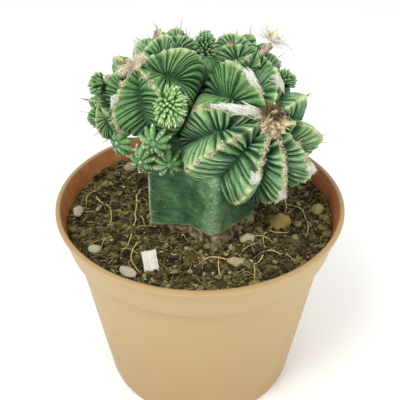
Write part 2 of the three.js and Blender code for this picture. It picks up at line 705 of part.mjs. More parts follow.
// A host makes room for a core, and for the arms too where they reach into it
function makeRoom(host, pieces) {
  return pieces.reduce((left, piece) => {
    if (!overlaps(left, piece.room)) return left;
    const open = piece.coreRoom ? left.subtract(piece.coreRoom) : left;
    return open.intersect(piece.solid).volume() > 0 ? open.subtract(piece.room) : open;
  }, host);
}

place("pot", makePot(), colours.pot, 0.55);
const stones = stoneLayout.map((stone) => [makeStone(stone, 0), makeStone(stone, clearance)]);
const soilRooms = [makeStem(clearance), makeChip(clearance * 2), ...stones.map(([, room]) => room)];
place("soil", cutBy(makeSoil(), soilRooms), colours.soil, 0.95);
stoneLayout.forEach((stone, index) => place(stone.name, stones[index][0], colours.stone, 0.8));
place("chip", makeChip(0), colours.chip, 0.7);
place("stem", makeRoom(addStemSpines(makeStem(0)), smallPieces), colours.stem, 0.5);
const stemRoom = makeStem(clearance);
for (const head of headLayout) {
  const solid = trimToNeighbours(makeHead(head), head);
  place(head.name, makeRoom(cutBy(solid, [stemRoom]), smallPieces), colours.head, 0.6);
}
smallPieces.forEach((piece, index) => {
  const earlier = smallPieces.slice(0, index).map(({ room }) => room);
  place(piece.name, cutBy(piece.solid, earlier), piece.colour, 0.7);
});

export default part;
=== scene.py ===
# Potted aztekium ritteri: a cluster of pleated cactus heads, grafted on a green stock, in a plastic pot.
import math

import bmesh
import bpy
import numpy as np
from mathutils import Matrix, Vector


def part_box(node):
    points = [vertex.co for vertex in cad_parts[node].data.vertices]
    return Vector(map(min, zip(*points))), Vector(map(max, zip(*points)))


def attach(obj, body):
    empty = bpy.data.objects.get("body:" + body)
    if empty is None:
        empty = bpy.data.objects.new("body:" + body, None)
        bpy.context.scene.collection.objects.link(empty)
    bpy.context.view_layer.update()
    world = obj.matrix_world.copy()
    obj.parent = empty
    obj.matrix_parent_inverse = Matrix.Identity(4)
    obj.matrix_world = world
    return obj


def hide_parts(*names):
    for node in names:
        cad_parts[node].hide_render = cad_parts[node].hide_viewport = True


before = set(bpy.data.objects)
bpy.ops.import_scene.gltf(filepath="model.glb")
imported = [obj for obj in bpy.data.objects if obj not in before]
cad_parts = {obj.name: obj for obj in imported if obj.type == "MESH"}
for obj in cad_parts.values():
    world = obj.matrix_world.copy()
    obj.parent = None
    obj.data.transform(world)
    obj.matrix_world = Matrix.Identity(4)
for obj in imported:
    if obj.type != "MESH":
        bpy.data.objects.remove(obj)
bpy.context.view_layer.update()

mm = 0.001                                  # sizes below are in millimetres
scene = bpy.context.scene
potLow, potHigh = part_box("pot")
rimRadius = (potHigh.x - potLow.x) / 2 / mm
potHeight = potHigh.z / mm

# Camera, placed as in the photograph
cameraPlace = {
    "away": 4.33,                           # in rim radii from the pot's axis
    "above": 2.953,                         # in rim radii above the rim
    "tilt": 34.48,                          # degrees down
    "lens": 67.5, "sensor": 36,             # millimetres
}


def makeCamera():
    data = bpy.data.cameras.new("camera")
    data.lens = cameraPlace["lens"]
    data.sensor_width = cameraPlace["sensor"]
    data.clip_start = 0.01
    obj = bpy.data.objects.new("camera", data)
    scene.collection.objects.link(obj)
    up = potHeight + cameraPlace["above"] * rimRadius
    obj.location = Vector((0, -cameraPlace["away"] * rimRadius, up)) * mm
    obj.rotation_euler = (math.radians(90 - cameraPlace["tilt"]), 0, 0)
    scene.camera = obj


makeCamera()


# Numbers
def mix(a, b, share):
    return a + (b - a) * share


def smoothStep(value):
    t = np.clip(value, 0, 1)
    return t * t * (3 - 2 * t)


def unit(vectors):
    vectors = np.asarray(vectors, float)
    return vectors / np.maximum(np.linalg.norm(vectors, axis=-1, keepdims=True), 1e-9)


# Any uneven numbers do
scramble = {"across": np.array([127.1, 311.7, 74.7]), "up": 43758.5453, "seed": 13.7}


def smoothNoise(points, size, seed):        # from -1 to 1, one soft bump every size
    spots = np.asarray(points, float) / size + seed * scramble["seed"]
    cell = np.floor(spots)
    share = smoothStep(spots - cell)
    total = 0
    for corner in np.ndindex(2, 2, 2):
        wild = np.sin((cell + corner) @ scramble["across"]) * scramble["up"]
        weight = np.prod(np.where(np.array(corner) == 1, share, 1 - share), axis=-1)
        total = total + (wild - np.floor(wild)) * weight
    return total * 2 - 1


def roughNoise(points, size, seed, layers=3):           # each layer is half as large and half as high
    return sum(smoothNoise(points, size / 2 ** i, seed + i) / 2 ** i for i in range(layers))


def axesOf(axis):                           # X stays level with the world's X, Z is the axis
    up = unit(axis)
    side = unit(np.array([1.0, 0, 0]) - up * up[0])
    return np.array([side, np.cross(up, side), up])


# Shapes: points, triangles and marks, which are numbers that each point carries for its material
def shapeOf(points, faces, **marks):
    points = np.asarray(points, float).reshape(-1, 3)
    marks = {
        name: np.broadcast_to(np.asarray(value, float).ravel(), len(points)) for name, value in marks.items()
    }
    return {"points": points, "faces": np.asarray(faces, int).reshape(-1, 3), "marks": marks}


def joined(shapes):                         # a mark that a shape doesn't have is 0 there
    starts = np.cumsum([0] + [len(shape["points"]) for shape in shapes])
    faces = [shape["faces"] + start for shape, start in zip(shapes, starts)]
    marks = {}
    for name in sorted({name for shape in shapes for name in shape["marks"]}):
        values = [shape["marks"].get(name, np.zeros(len(shape["points"]))) for shape in shapes]
        marks[name] = np.concatenate(values)
    return shapeOf(np.concatenate([shape["points"] for shape in shapes]), np.concatenate(faces), **marks)


def gridFaces(rows, columns, wrap=False):   # two triangles between neighbours in a grid of points
    gaps = columns if wrap else columns - 1
    row, column = np.meshgrid(np.arange(rows - 1), np.arange(gaps), indexing="ij")
    here = (row * columns + column).ravel()
    beside = (row * columns + (column + 1) % columns).ravel()
    below = np.stack([here, here + columns, beside + columns], -1)
    above = np.stack([here, beside + columns, beside], -1)
    return np.concatenate([below, above])


def outward(shape):                         # turns the faces out if they point in
    a, b, c = (shape["points"][shape["faces"][:, i]] for i in range(3))
    if np.sum(a * np.cross(b, c)) < 0:
        shape["faces"] = shape["faces"][:, ::-1]
    return shape


def ringTurns(count):                       # directions evenly round a circle
    return 2 * math.pi * np.arange(count) / count


ribbonThickness = 0.3                       # as a share of a ribbon's width


# A closed tube along each path, or a ribbon whose flat side looks to where it is facing
def strands(paths, widths, sides=3, facing=None, **marks):
    count, steps = paths.shape[:2]
    along = unit(np.gradient(paths, axis=1))
    upright = np.abs(unit(paths[:, -1] - paths[:, 0])[:, 2]) > 0.8
    helper = np.where(upright[:, None, None], np.array([1.0, 0.1, 0]), np.array([0, 0.1, 1.0]))
    side = unit(np.cross(along, helper if facing is None else facing))
    other = np.cross(along, side) * (1 if facing is None else ribbonThickness)
    turns = ringTurns(sides)
    circle = np.cos(turns)[:, None] * side[:, :, None] + np.sin(turns)[:, None] * other[:, :, None]
    widths = np.broadcast_to(widths, (count, steps))
    points = paths[:, :, None] + widths[:, :, None, None] * circle
    fan = np.array([[0, i, i + 1] for i in range(1, sides - 1)])
    one = np.concatenate([gridFaces(steps, sides, True), fan[:, ::-1], fan + (steps - 1) * sides])
    faces = one[None] + (np.arange(count) * steps * sides)[:, None, None]
    spread = {}
    for name, value in marks.items():       # one value for each strand, or for each of its steps
        value = np.reshape(value, np.shape(value) + (1,) * (3 - np.ndim(value)))
        spread[name] = np.broadcast_to(value, (count, steps, sides))
    return outward(shapeOf(points, faces, **spread))


def taper(steps, start=1.0, end=0.15):      # a hair's widths from its root to its tip
    share = np.linspace(0, 1, steps)
    return mix(start, end, share ** 1.5)


def turned(points, axis, degrees):          # about the X, Y or Z axis: 0, 1 or 2
    return points @ np.array(Matrix.Rotation(math.radians(degrees), 3, "XYZ"[axis])).T


def bentPaths(roots, directions, lengths, bends, steps):   # each path leaves its root and bends sideways
    share = np.linspace(0, 1, steps)[None, :, None]
    lengths = np.reshape(lengths, (-1, 1, 1))
    return roots[:, None] + directions[:, None] * lengths * share + bends[:, None] * lengths * share ** 2


def randomUnit(rng, count):
    return unit(rng.normal(size=(count, 3)))


def icoPoints(steps):
    ball = bmesh.new()
    bmesh.ops.create_icosphere(ball, subdivisions=steps, radius=1)
    points = np.array([v.co for v in ball.verts])
    faces = np.array([[v.index for v in face.verts] for face in ball.faces])
    ball.free()
    return points, faces


def pebbles(rng, centres, sizes, flatness, dents, steps, **marks):      # irregular closed lumps
    ball, faces = icoPoints(steps)
    count = len(centres)
    axes = np.linalg.qr(rng.normal(size=(count, 3, 3)))[0]
    stretch = rng.uniform(0.7, 1.3, (count, 1, 3)) * np.reshape(sizes, (-1, 1, 1))
    local = ball[None] * (1 + dents * rng.normal(size=(count, len(ball), 1)) * 0.6) * stretch
    points = np.einsum("kij,knj->kni", axes, local)
    points[..., 2] *= flatness
    points += centres[:, None]
    every = faces[None] + (np.arange(count) * len(ball))[:, None, None]
    marks = {
        name: np.broadcast_to(np.reshape(value, (-1, 1)), (count, len(ball))) for name, value in marks.items()
    }
    return outward(shapeOf(points, every, **marks))


def makePiece(name, shape, material, replaced=(), weld=0.0, flat=False):
    mesh = bpy.data.meshes.new(name)
    mesh.from_pydata((shape["points"] * mm).tolist(), [], shape["faces"].tolist())
    for markName, values in shape["marks"].items():
        mark = mesh.attributes.new(markName, "FLOAT", "POINT")
        mark.data.foreach_set("value", np.ascontiguousarray(values, np.float32))
    if weld > 0:
        work = bmesh.new()
        work.from_mesh(mesh)
        bmesh.ops.remove_doubles(work, verts=work.verts, dist=weld * mm)
        bmesh.ops.dissolve_degenerate(work, edges=work.edges, dist=weld * mm * 0.1)
        work.to_mesh(mesh)
        work.free()
    mesh.polygons.foreach_set("use_smooth", [not flat] * len(mesh.polygons))
    mesh.materials.append(material)
    mesh.update()
    obj = bpy.data.objects.new(name, mesh)
    scene.collection.objects.link(obj)
    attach(obj, "root")
    if replaced:
        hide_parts(*replaced)


# Shader helpers
def hexColour(text):                        # from screen values to linear ones
    channels = [int(text[i:i + 2], 16) / 255 for i in (0, 2, 4)]
    return tuple(c / 12.92 if c <= 0.04045 else ((c + 0.055) / 1.055) ** 2.4 for c in channels) + (1,)


def plug(tree, socket, value):
    if isinstance(value, bpy.types.NodeSocket):
        tree.links.new(value, socket)
    else:
        socket.default_value = hexColour(value) if isinstance(value, str) else value


def addNode(tree, kind, inputs=None, **settings):
    node = tree.nodes.new("ShaderNode" + kind)
    for name, value in settings.items():
        setattr(node, name, value)
    for name, value in (inputs or {}).items():
        plug(tree, node.inputs[name], value)
    return node


def calc(tree, operation, a, b, clamp=False):
    return addNode(tree, "Math", {0: a, 1: b}, operation=operation, use_clamp=clamp).outputs[0]


def times(tree, a, b):
    return calc(tree, "MULTIPLY", a, b)


def swayed(tree, value, mask, amount):      # the value, a little more or less where the mask is light or dark
    return calc(tree, "ADD", value, times(tree, calc(tree, "SUBTRACT", mask, 0.5), amount))


def remap(tree, value, low, high, toLow=0.0, toHigh=1.0):
    inputs = {"Value": value, "From Min": low, "From Max": high, "To Min": toLow, "To Max": toHigh}
    return addNode(tree, "MapRange", inputs, interpolation_type="SMOOTHSTEP").outputs["Result"]


def ramp(tree, value, stops):
    node = addNode(tree, "ValToRGB", {"Fac": value})
    band = node.color_ramp.elements
    for stop, (spot, colour) in zip((band[0], band[1]), (stops[0], stops[-1])):
        stop.position, stop.color = spot, hexColour(colour)
    for spot, colour in stops[1:-1]:
        band.new(spot).color = hexColour(colour)
    return node.outputs["Color"]


def blendColour(tree, share, a, b, kind="MIX"):
    inputs = {"Factor": share, "A": a, "B": b}
    return addNode(tree, "Mix", inputs, data_type="RGBA", blend_type=kind).outputs["Result"]


def coated(tree, below, colour, mask, amount):          # a colour laid over another by a mask
    return blendColour(tree, times(tree, mask, amount), below, colour)


def mark(tree, name):
    return addNode(tree, "Attribute", attribute_name=name).outputs["Fac"]


def newMaterial(name, roughness, **values):
    material = bpy.data.materials.new(name)
    material.use_nodes = True
    tree = material.node_tree
    shader = tree.nodes["Principled BSDF"]
    shader.inputs["Roughness"].default_value = roughness
    for socket, value in values.items():
        shader.inputs[socket.replace("_", " ")].default_value = value
    return material, tree, shader


def paint(tree, shader, colour, height, strength, depth):       # the relief's depth is in millimetres
    relief = addNode(tree, "Bump", {"Strength": strength, "Distance": depth * mm, "Height": height})
    plug(tree, shader.inputs["Base Color"], colour)
    plug(tree, shader.inputs["Normal"], relief.outputs["Normal"])


# Effects that several finishes share, as node groups
def newGroup(name, inputs, outputs):
    group = bpy.data.node_groups.new(name, "ShaderNodeTree")
    for socketName, value in inputs.items():
        socket = group.interface.new_socket(socketName, in_out="INPUT", socket_type="NodeSocketFloat")
        socket.default_value = value
    for socketName in outputs:
        group.interface.new_socket(socketName, in_out="OUTPUT", socket_type="NodeSocketFloat")
    given = group.nodes.new("NodeGroupInput")
    result = group.nodes.new("NodeGroupOutput")
    return group, given, result


def coordinates(tree):
    return addNode(tree, "TexCoord").outputs["Object"]


def makeMottle():                           # soft uneven patches
    group, given, result = newGroup("mottle", {"Size": 1.0, "Contrast": 1.0}, ["Mask"])
    scale = calc(group, "DIVIDE", 1 / mm, given.outputs["Size"])
    inputs = {"Vector": coordinates(group), "Scale": scale, "Detail": 5.0, "Roughness": 0.6}
    noise = addNode(group, "TexNoise", inputs).outputs["Fac"]
    contrast = times(group, given.outputs["Contrast"], 2.6)     # a plain noise stays close to its middle
    spread = times(group, calc(group, "SUBTRACT", noise, 0.5), contrast)
    plug(group, result.inputs["Mask"], calc(group, "ADD", spread, 0.5, clamp=True))
    return group


def makeFlecks():                           # small round specks, scattered
    group, given, result = newGroup("flecks", {"Size": 1.0, "Share": 0.3, "Spot": 0.3}, ["Mask"])
    scale = calc(group, "DIVIDE", 1 / mm, given.outputs["Size"])
    cells = addNode(group, "TexVoronoi", {"Vector": coordinates(group), "Scale": scale})
    near = calc(group, "LESS_THAN", cells.outputs["Distance"], given.outputs["Spot"])
    red = addNode(group, "SeparateColor", {"Color": cells.outputs["Color"]}).outputs["Red"]
    chosen = calc(group, "LESS_THAN", red, given.outputs["Share"])
    plug(group, result.inputs["Mask"], times(group, near, chosen))
    return group


def makeStreaks():                          # thin scratches and fibres, level or upright
    inputs = {"Size": 1.0, "Level": 1.0, "Upright": 1.0, "Cut": 0.62}
    group, given, result = newGroup("streaks", inputs, ["Mask"])
    level = given.outputs["Level"]
    scale = addNode(group, "CombineXYZ", {"X": level, "Y": level, "Z": given.outputs["Upright"]})
    inputs = {0: coordinates(group), 1: scale.outputs["Vector"]}
    spot = addNode(group, "VectorMath", inputs, operation="MULTIPLY").outputs["Vector"]
    size = calc(group, "DIVIDE", 1 / mm, given.outputs["Size"])
    noise = addNode(group, "TexNoise", {"Vector": spot, "Scale": size, "Detail": 3.0}).outputs["Fac"]
    above = calc(group, "SUBTRACT", noise, given.outputs["Cut"])
    plug(group, result.inputs["Mask"], calc(group, "MULTIPLY", above, 9.0, clamp=True))
    return group


mottle = makeMottle()
flecks = makeFlecks()
streaks = makeStreaks()


def maskOf(tree, group, **inputs):
    node = tree.nodes.new("ShaderNodeGroup")
    node.node_tree = group
    for name, value in inputs.items():
        plug(tree, node.inputs[name], value)
    return node.outputs["Mask"]


# A finish coloured by each strand's or lump's own shade, with fine grain of a size and contrast
def shadedFinish(name, roughness, grain, sway, stops, strength, depth, **values):
    material, tree, shader = newMaterial(name, roughness, **values)
    fine = maskOf(tree, mottle, Size=grain[0], Contrast=grain[1])
    colour = ramp(tree, swayed(tree, mark(tree, "shade"), fine, sway), stops)
    paint(tree, shader, colour, fine, strength, depth)
    return material


print("stage: helpers ready")

# Pot
pot = {
    "bandHeight": 12.4, "bandFoot": 41.9, "bodyTop": 39.8, "bodyFoot": 31.4,   # radii at each height
    "wall": 1.4, "footDepth": 2.0, "footWidth": 3.0,
    "notches": 10, "notchWidth": 4.5, "notchHeight": 1.3, "notchTurn": -30,
    "lip": 0.55, "step": 1.6,               # rounding of the lip and of the step under the band
    "sides": 160, "longestSide": 4, "warp": 0.12,
    # the outside darkens towards the foot and the inside is darker and more orange: both painted shade
    "outside": "b49a6a", "outsideLow": "a58655", "inside": "bd7845", "insideShade": "9d5530",
    "edge": "9c8055", "dust": "c4b28a", "roughness": 0.42,
}


def roundedProfile(corners, steps):         # each corner is radius, height and how far its rounding reaches
    points = []
    for i, (r, z, soft) in enumerate(corners):
        here = np.array([r, z])
        if soft == 0 or i in (0, len(corners) - 1):
            points.append(here)
            continue
        back = np.array(corners[i - 1][:2]) - here
        ahead = np.array(corners[i + 1][:2]) - here
        start = here + back / np.linalg.norm(back) * min(soft, np.linalg.norm(back) / 2)
        end = here + ahead / np.linalg.norm(ahead) * min(soft, np.linalg.norm(ahead) / 2)
        for t in np.linspace(0, 1, steps):
            points.append(mix(mix(start, here, t), mix(here, end, t), t))
    return np.array(points)


def latheOf(profile, sides):
    turns = ringTurns(sides)
    radius, height = profile[:, :1], np.repeat(profile[:, 1:], sides, 1)
    rows = np.stack([radius * np.cos(turns), radius * np.sin(turns), height], -1)
    return outward(shapeOf(rows, gridFaces(len(profile), sides, True)))


def makePot():
    p = pot
    bandFoot = potHeight - p["bandHeight"]
    floor = p["footDepth"] + p["wall"]
    footIn = p["bodyFoot"] - p["footWidth"]
    wall, lip, step = p["wall"], p["lip"], p["step"]
    corners = [
        (0.01, p["footDepth"], 0), (footIn, p["footDepth"], 0.4), (footIn + 0.5, 0, 0.3),
        (p["bodyFoot"] - 0.6, 0, 0.5), (p["bodyFoot"] + 0.1, 2, 0.8),
        (p["bodyTop"], bandFoot - 0.3, step / 2), (p["bandFoot"] - 0.2, bandFoot + 0.4, step),
        (rimRadius - 0.9, potHeight - 2.4, 0.6), (rimRadius, potHeight - 1.6, 0.5),
        (rimRadius, potHeight, lip), (rimRadius - wall, potHeight, lip),
        (p["bandFoot"] - wall, bandFoot + wall, step), (p["bodyTop"] - wall, bandFoot - 1, step),
        (p["bodyFoot"] - wall, floor + 1, 1), (p["bodyFoot"] - wall - 1, floor, 1), (0.01, floor, 0),
    ]
    sparse = roundedProfile(corners, 5)
    profile = [sparse[0]]
    for start, end in zip(sparse, sparse[1:]):
        parts = max(1, math.ceil(np.linalg.norm(end - start) / p["longestSide"]))
        profile += [mix(start, end, (i + 1) / parts) for i in range(parts)]
    shape = latheOf(np.array(profile), p["sides"])
    points = shape["points"]
    turn = np.degrees(np.arctan2(points[:, 1], points[:, 0]))
    away = np.hypot(points[:, 0], points[:, 1])
    pitch = 360 / p["notches"]
    offNotch = np.abs((turn - p["notchTurn"] + pitch / 2) % pitch - pitch / 2)
    halfNotch = math.degrees(p["notchWidth"] / 2 / p["bodyFoot"])
    cut = (1 - smoothStep((offNotch - halfNotch) / 1.2 + 0.5)) * (away > footIn - 0.1)
    height = points[:, 2]
    height = np.where(height < p["notchHeight"], mix(height, p["notchHeight"], cut), height)
    points[:, 2] = height
    sway = p["warp"] * smoothNoise(points * [1, 1, 0.4], 30, 4)
    sway = sway * smoothStep(height / 20) * smoothStep((potHeight - height) / 6)     # none at foot and lip
    points[:, :2] += points[:, :2] / np.maximum(away, 1)[:, None] * sway[:, None]
    rowOf = np.arange(len(points)) // p["sides"]
    topRow = int(np.argmax(np.array(profile)[:, 1]))
    rimMark = smoothStep((height - (potHeight - 0.75)) / 0.6)
    return shapeOf(points, shape["faces"], inner=rowOf > topRow + 1, rim=rimMark)


def potPlastic():
    p = pot
    material, tree, shader = newMaterial("terracotta_plastic", p["roughness"], Specular_IOR_Level=0.4)
    height = addNode(tree, "SeparateXYZ", {"Vector": coordinates(tree)}).outputs["Z"]
    # painted shade: the outside darkens towards the foot
    outside = blendColour(tree, remap(tree, height, 0.0, potHeight * mm), p["outsideLow"], p["outside"])
    cloudy = maskOf(tree, mottle, Size=9.0, Contrast=0.7)
    outside = coated(tree, outside, p["dust"], cloudy, 0.18)
    inside = blendColour(tree, maskOf(tree, mottle, Size=5.0, Contrast=1.0), p["inside"], p["insideShade"])
    # painted shade: the inner wall is the same plastic made darker and more orange
    colour = blendColour(tree, mark(tree, "inner"), outside, inside)
    colour = coated(tree, colour, p["edge"], mark(tree, "rim"), 0.85)
    scratch = maskOf(tree, streaks, Size=5.0, Level=1.0, Upright=6.0, Cut=0.66)
    colour = coated(tree, colour, p["dust"], scratch, 0.10)
    rough = remap(tree, cloudy, 0.0, 1.0, p["roughness"] - 0.06, p["roughness"] + 0.12)
    plug(tree, shader.inputs["Roughness"], rough)
    paint(tree, shader, colour, maskOf(tree, mottle, Size=0.5, Contrast=1.0), 0.12, 0.05)
    return material


makePiece("pot_shell", makePot(), potPlastic(), ["pot"], weld=0.015)
print("stage: pot made")

# Heads: ribs stand round the apex, and between two ribs is a leaf-shaped hollow with fanned pleats. A rib is
# its direction round the apex in degrees and its share of the radius. By the number of the rib before a
# hollow, deep says how far painted shade darkens it and tints it blue, and fans where its pleats meet and how
# far they are spread.
headForm = {
    "rimAngle": 112, "hollowDepth": 0.33, "apexShare": 0.8, "squash": 0.92, "tipDrop": 0.1, "lobeSwell": 0.07,
    "widest": 1.4, "tuck": 0.05,            # radians from apex to widest place, and how far it draws in after
    "pleatShare": 0.031,                    # half height of a pleat, as a share of the head's radius
    "fan": (0.42, 0.3),                     # as in fans, for a hollow that isn't listed there
    "bow": 0.06,                            # how far a pleat bows towards the rim
    "teeth": 0.02,                          # the raised tooth in which a pleat ends on the rib
    "uneven": 0.55,                         # how much weaker the faintest grooves are
    "meander": 0.24, "meanderSize": 3.4,    # how far a groove strays, in pleats, over how many millimetres
    "lumpy": 0.016, "lumpSize": 3.2,
    "pleatSteps": 9, "raySteps": 12,
    "ribApart": 40,                         # keeps the fine lines of one rib unlike those of the next
    "underside": ((0.95, 0.05), (0.84, 0.12), (0.6, 0.26), (0.3, 0.52), (0.0, 0.8)),   # width, drop in radii
    "clearance": 0.3, "press": 0.5,         # how softly two heads press on each other
}
heads = [
    {"name": "head_right", "centre": (14.5, -4, 91), "axis": (0.31, -0.65, 0.69), "radius": 21,
     "pleats": 12, "rimPleats": 3, "seed": 3, "deep": {2: 0.7, 3: 0.9, 4: 0.1, 5: 0.35, 6: 0.2, 7: 0.1, 8: 0},
     "fans": {3: (0.46, 0.15), 4: (0.55, 0.4), 5: (0.5, 0.62), 6: (0.45, 0.6), 7: (0.45, 0.6),
              8: (0.45, 0.5)},
     "ribs": [(-4, 1), (36, 0.95), (75, 0.98), (117, 1.06), (172, 1.06), (212, 1.04), (259, 1), (290, 1),
              (322, 1)]},
    {"name": "head_left", "centre": (-13.5, 1, 103.5), "axis": (-0.36, -0.46, 0.81), "radius": 15.5,
     "pleats": 11, "rimPleats": 4, "seed": 5, "deep": {6: 1.0, 5: 1.0, 4: 0.9, 0: 0.6},
     "fans": {6: (0.44, 0.15), 5: (0.45, 0.6), 4: (0.45, 0.45)},
     "ribs": [(22, 1.02), (62, 1), (100, 0.92), (140, 0.95), (184, 1), (230, 1), (304, 1.04)]},
    {"name": "head_far_left", "centre": (-25, 4, 95.5), "axis": (-0.62, -0.55, 0.56), "radius": 9.5,
     "pleats": 8, "rimPleats": 2, "seed": 15,
     "ribs": [(15, 1.02), (62, 1), (110, 0.92), (160, 0.95), (205, 1), (250, 1), (300, 1)]},
    {"name": "head_top_right", "centre": (13.6, 16, 102.5), "axis": (0.4, -0.35, 0.85), "radius": 11.5,
     "pleats": 9, "rimPleats": 2, "seed": 8,
     "ribs": [(10, 1), (55, 1), (95, 1), (140, 1.05), (185, 1.15), (230, 1.1), (280, 1), (325, 1)]},
    {"name": "head_top_left", "centre": (-10, 14, 106.3), "axis": (-0.25, -0.25, 0.93), "radius": 10.5,
     "pleats": 8, "rimPleats": 2, "seed": 9,
     "ribs": [(10, 1), (55, 1), (100, 1), (150, 1), (200, 1.05), (245, 1), (290, 1), (330, 1)]},
    {"name": "head_back_right", "centre": (15, 18, 88), "axis": (0.45, 0.75, 0.48), "radius": 13,
     "pleats": 10, "rimPleats": 2, "seed": 21,
     "ribs": [(20, 1), (70, 1.04), (120, 1), (170, 1.03), (222, 1), (275, 1), (328, 1)]},
    {"name": "head_back_left", "centre": (-11, 19, 92), "axis": (-0.45, 0.75, 0.48), "radius": 13.5,
     "pleats": 10, "rimPleats": 2, "seed": 27,
     "ribs": [(0, 1), (50, 1.04), (100, 1), (150, 1), (205, 1.03), (258, 1), (310, 1)]},
]
headColours = {
    # furrow darkens each hollow's middle and groove the pleats' grooves, both painted shade; ridge, on the
    # pleats' tops, is partly a waxy bloom and partly a painted highlight; deep darkens and blues a hollow
    # with painted shade, by a share of its own or by the usual one
    "furrow": "0d3a18", "flank": "2f6b39", "shoulder": "638f55", "crest": "a0b97b", "blue": "427f60",
    "ridge": "b7cea6", "groove": "05260e", "young": "8ba657", "rim": "b3c582", "tooth": "cfd6a4",
    "scar": "c7ab80", "deep": "adcba6", "usualDepth": 0.3,
}


def headNamed(name):
    return next(head for head in heads if head["name"] == name)


def hollowPoint(head, rib, across, along):  # across is -1 on a rib and 1 on the next, along 0 at the apex
    f = headForm
    start, scale = head["ribs"][rib]
    end, nextScale = head["ribs"][(rib + 1) % len(head["ribs"])]
    across, along = np.asarray(across, float), np.asarray(along, float)
    side = (across + 1) / 2
    turn = np.radians(start + (end - start) % 360 * side)
    ownScale = 1 + (mix(scale, nextScale, smoothStep(side)) - 1) * smoothStep(along / 0.3)
    inFurrow = 1 - np.abs(across)
    polar = math.radians(f["rimAngle"]) * along * (1 + f["tipDrop"] * np.sqrt(inFurrow) * along ** 2)
    depth = f["hollowDepth"] * np.clip(np.sin(math.pi * along ** 0.75), 0, None) ** 0.75
    shoulder = np.sin(np.minimum(polar / f["widest"], 1) * math.pi / 2) ** 1.5
    tuck = 1 - f["tuck"] * np.maximum(0, (polar - f["widest"]) / 0.6) ** 2
    swell = mix(f["apexShare"], 1, shoulder) * tuck * (1 + f["lobeSwell"] * inFurrow ** 1.3 * along ** 4)
    reach = head["radius"] * ownScale * swell * (1 - depth * inFurrow ** 1.3)
    flat = reach * np.sin(polar)
    return np.stack([flat * np.cos(turn), flat * np.sin(turn), reach * np.cos(polar) * f["squash"]], -1)


def pleatPhase(head, rib, place):           # pleats are not quite even, and both sides of a rib agree
    rng = np.random.default_rng(head["seed"] * 100 + rib)
    first, second = rng.uniform(0, 6, 2)
    fade = np.clip(place, 0, 1) * np.clip(head["pleats"] - place, 0, 1)
    return place + fade * (0.2 * np.sin(place * 1.9 + first) + 0.12 * np.sin(place * 3.7 + second))


def grooveStrength(head, rib, place):       # some grooves are fainter, the same on both sides of a rib
    rng = np.random.default_rng(head["seed"] * 300 + rib)
    own = 1 - headForm["uneven"] * rng.uniform(0, 1, head["pleats"] + 1) ** 1.5
    own[-1] = 1
    return np.interp(place, np.arange(head["pleats"] + 1), own)


# Half of a hollow, with rays from its middle to the rib at one side: -1 is the rib before it, 1 the one after
def halfHollow(head, rib, side, fan):
    f = headForm
    radius = head["radius"]
    count = len(head["ribs"])
    half = math.radians((head["ribs"][(rib + 1) % count][0] - head["ribs"][rib][0]) % 360 / 2)
    place = np.arange((head["pleats"] + head["rimPleats"]) * f["pleatSteps"] + 1) / f["pleatSteps"]
    onRim = np.clip((place - head["pleats"]) / head["rimPleats"], 0, 1)
    along = np.clip(place / head["pleats"], 0, 1)
    edgeX = along * np.sin(side * half * (1 - onRim))
    edgeY = along * np.cos(side * half * (1 - onRim))
    rootY = mix(fan[0], edgeY, fan[1])
    share = np.linspace(0, 1, f["raySteps"] + 1)[None, :] ** 0.85
    x = edgeX[:, None] * share
    bow = f["bow"] * np.sin(math.pi * share) * np.abs(edgeX)[:, None]
    y = mix(rootY[:, None], edgeY[:, None], share) - bow
    u = np.minimum(np.hypot(x, y), 1)
    across = np.clip(np.arctan2(x, y) / half, -1, 1)
    base = hollowPoint(head, rib, across, u)
    nudge = 1e-3                            # a small step along the surface, to find which way it faces
    sideways = (hollowPoint(head, rib, np.clip(across - side * nudge, -1, 1), u) - base) * -side
    down = hollowPoint(head, rib, across, u + nudge) - base
    radial = unit(base)
    normal = unit(np.cross(down, sideways))
    normal *= np.where(np.sum(normal * radial, -1, keepdims=True) < 0, -1, 1)
    edgeness = np.maximum(smoothStep((np.abs(across) - 0.7) / 0.3), 1 - smoothStep(np.abs(across) / 0.15))
    lift = unit(mix(unit(0.75 * normal + 0.25 * radial), radial, edgeness[..., None]))
    ownRib = rib if side < 0 else (rib + 1) % count
    phase = pleatPhase(head, ownRib, place)
    strength = grooveStrength(head, ownRib, phase)[:, None]
    strayed = f["meander"] * smoothNoise(base, f["meanderSize"], head["seed"])
    phase = phase[:, None] + strayed * np.clip(u * 4 - 0.4, 0, 1)
    wave = 1 - (1 - np.abs(np.sin(math.pi * phase))) * strength
    fade = np.clip(share / 0.12, 0, 1) ** 0.8           # pleats rise from the middle and ease off at the rib
    fade = fade * (1 - 0.5 * np.clip((share - 0.62) / 0.38, 0, 1)) * np.clip(u / 0.12, 0, 1)
    height = f["pleatShare"] * radius * fade * (wave * 2 - 1.25)
    height = height + f["lumpy"] * radius * fade * roughNoise(base, f["lumpSize"], head["seed"], 2)
    nearCrest = (1 - np.abs(across)) / 0.11
    teeth = np.exp(-nearCrest ** 2) * np.clip(u * 3, 0, 1) * (wave ** 3 * 1.8 - 0.6)
    height = height + f["teeth"] * radius * teeth
    points = base + lift * height[..., None]
    marks = {
        "crest": np.abs(across), "groove": (1 - wave) * fade ** 0.7, "along": u,
        "ray": np.broadcast_to(share, u.shape),
        "pleat": np.broadcast_to((ownRib * f["ribApart"] + place)[:, None], u.shape),
        "tone": np.random.default_rng(head["seed"] * 50 + rib).uniform(),
        "deep": head.get("deep", {}).get(rib, headColours["usualDepth"]),
    }
    return points, marks


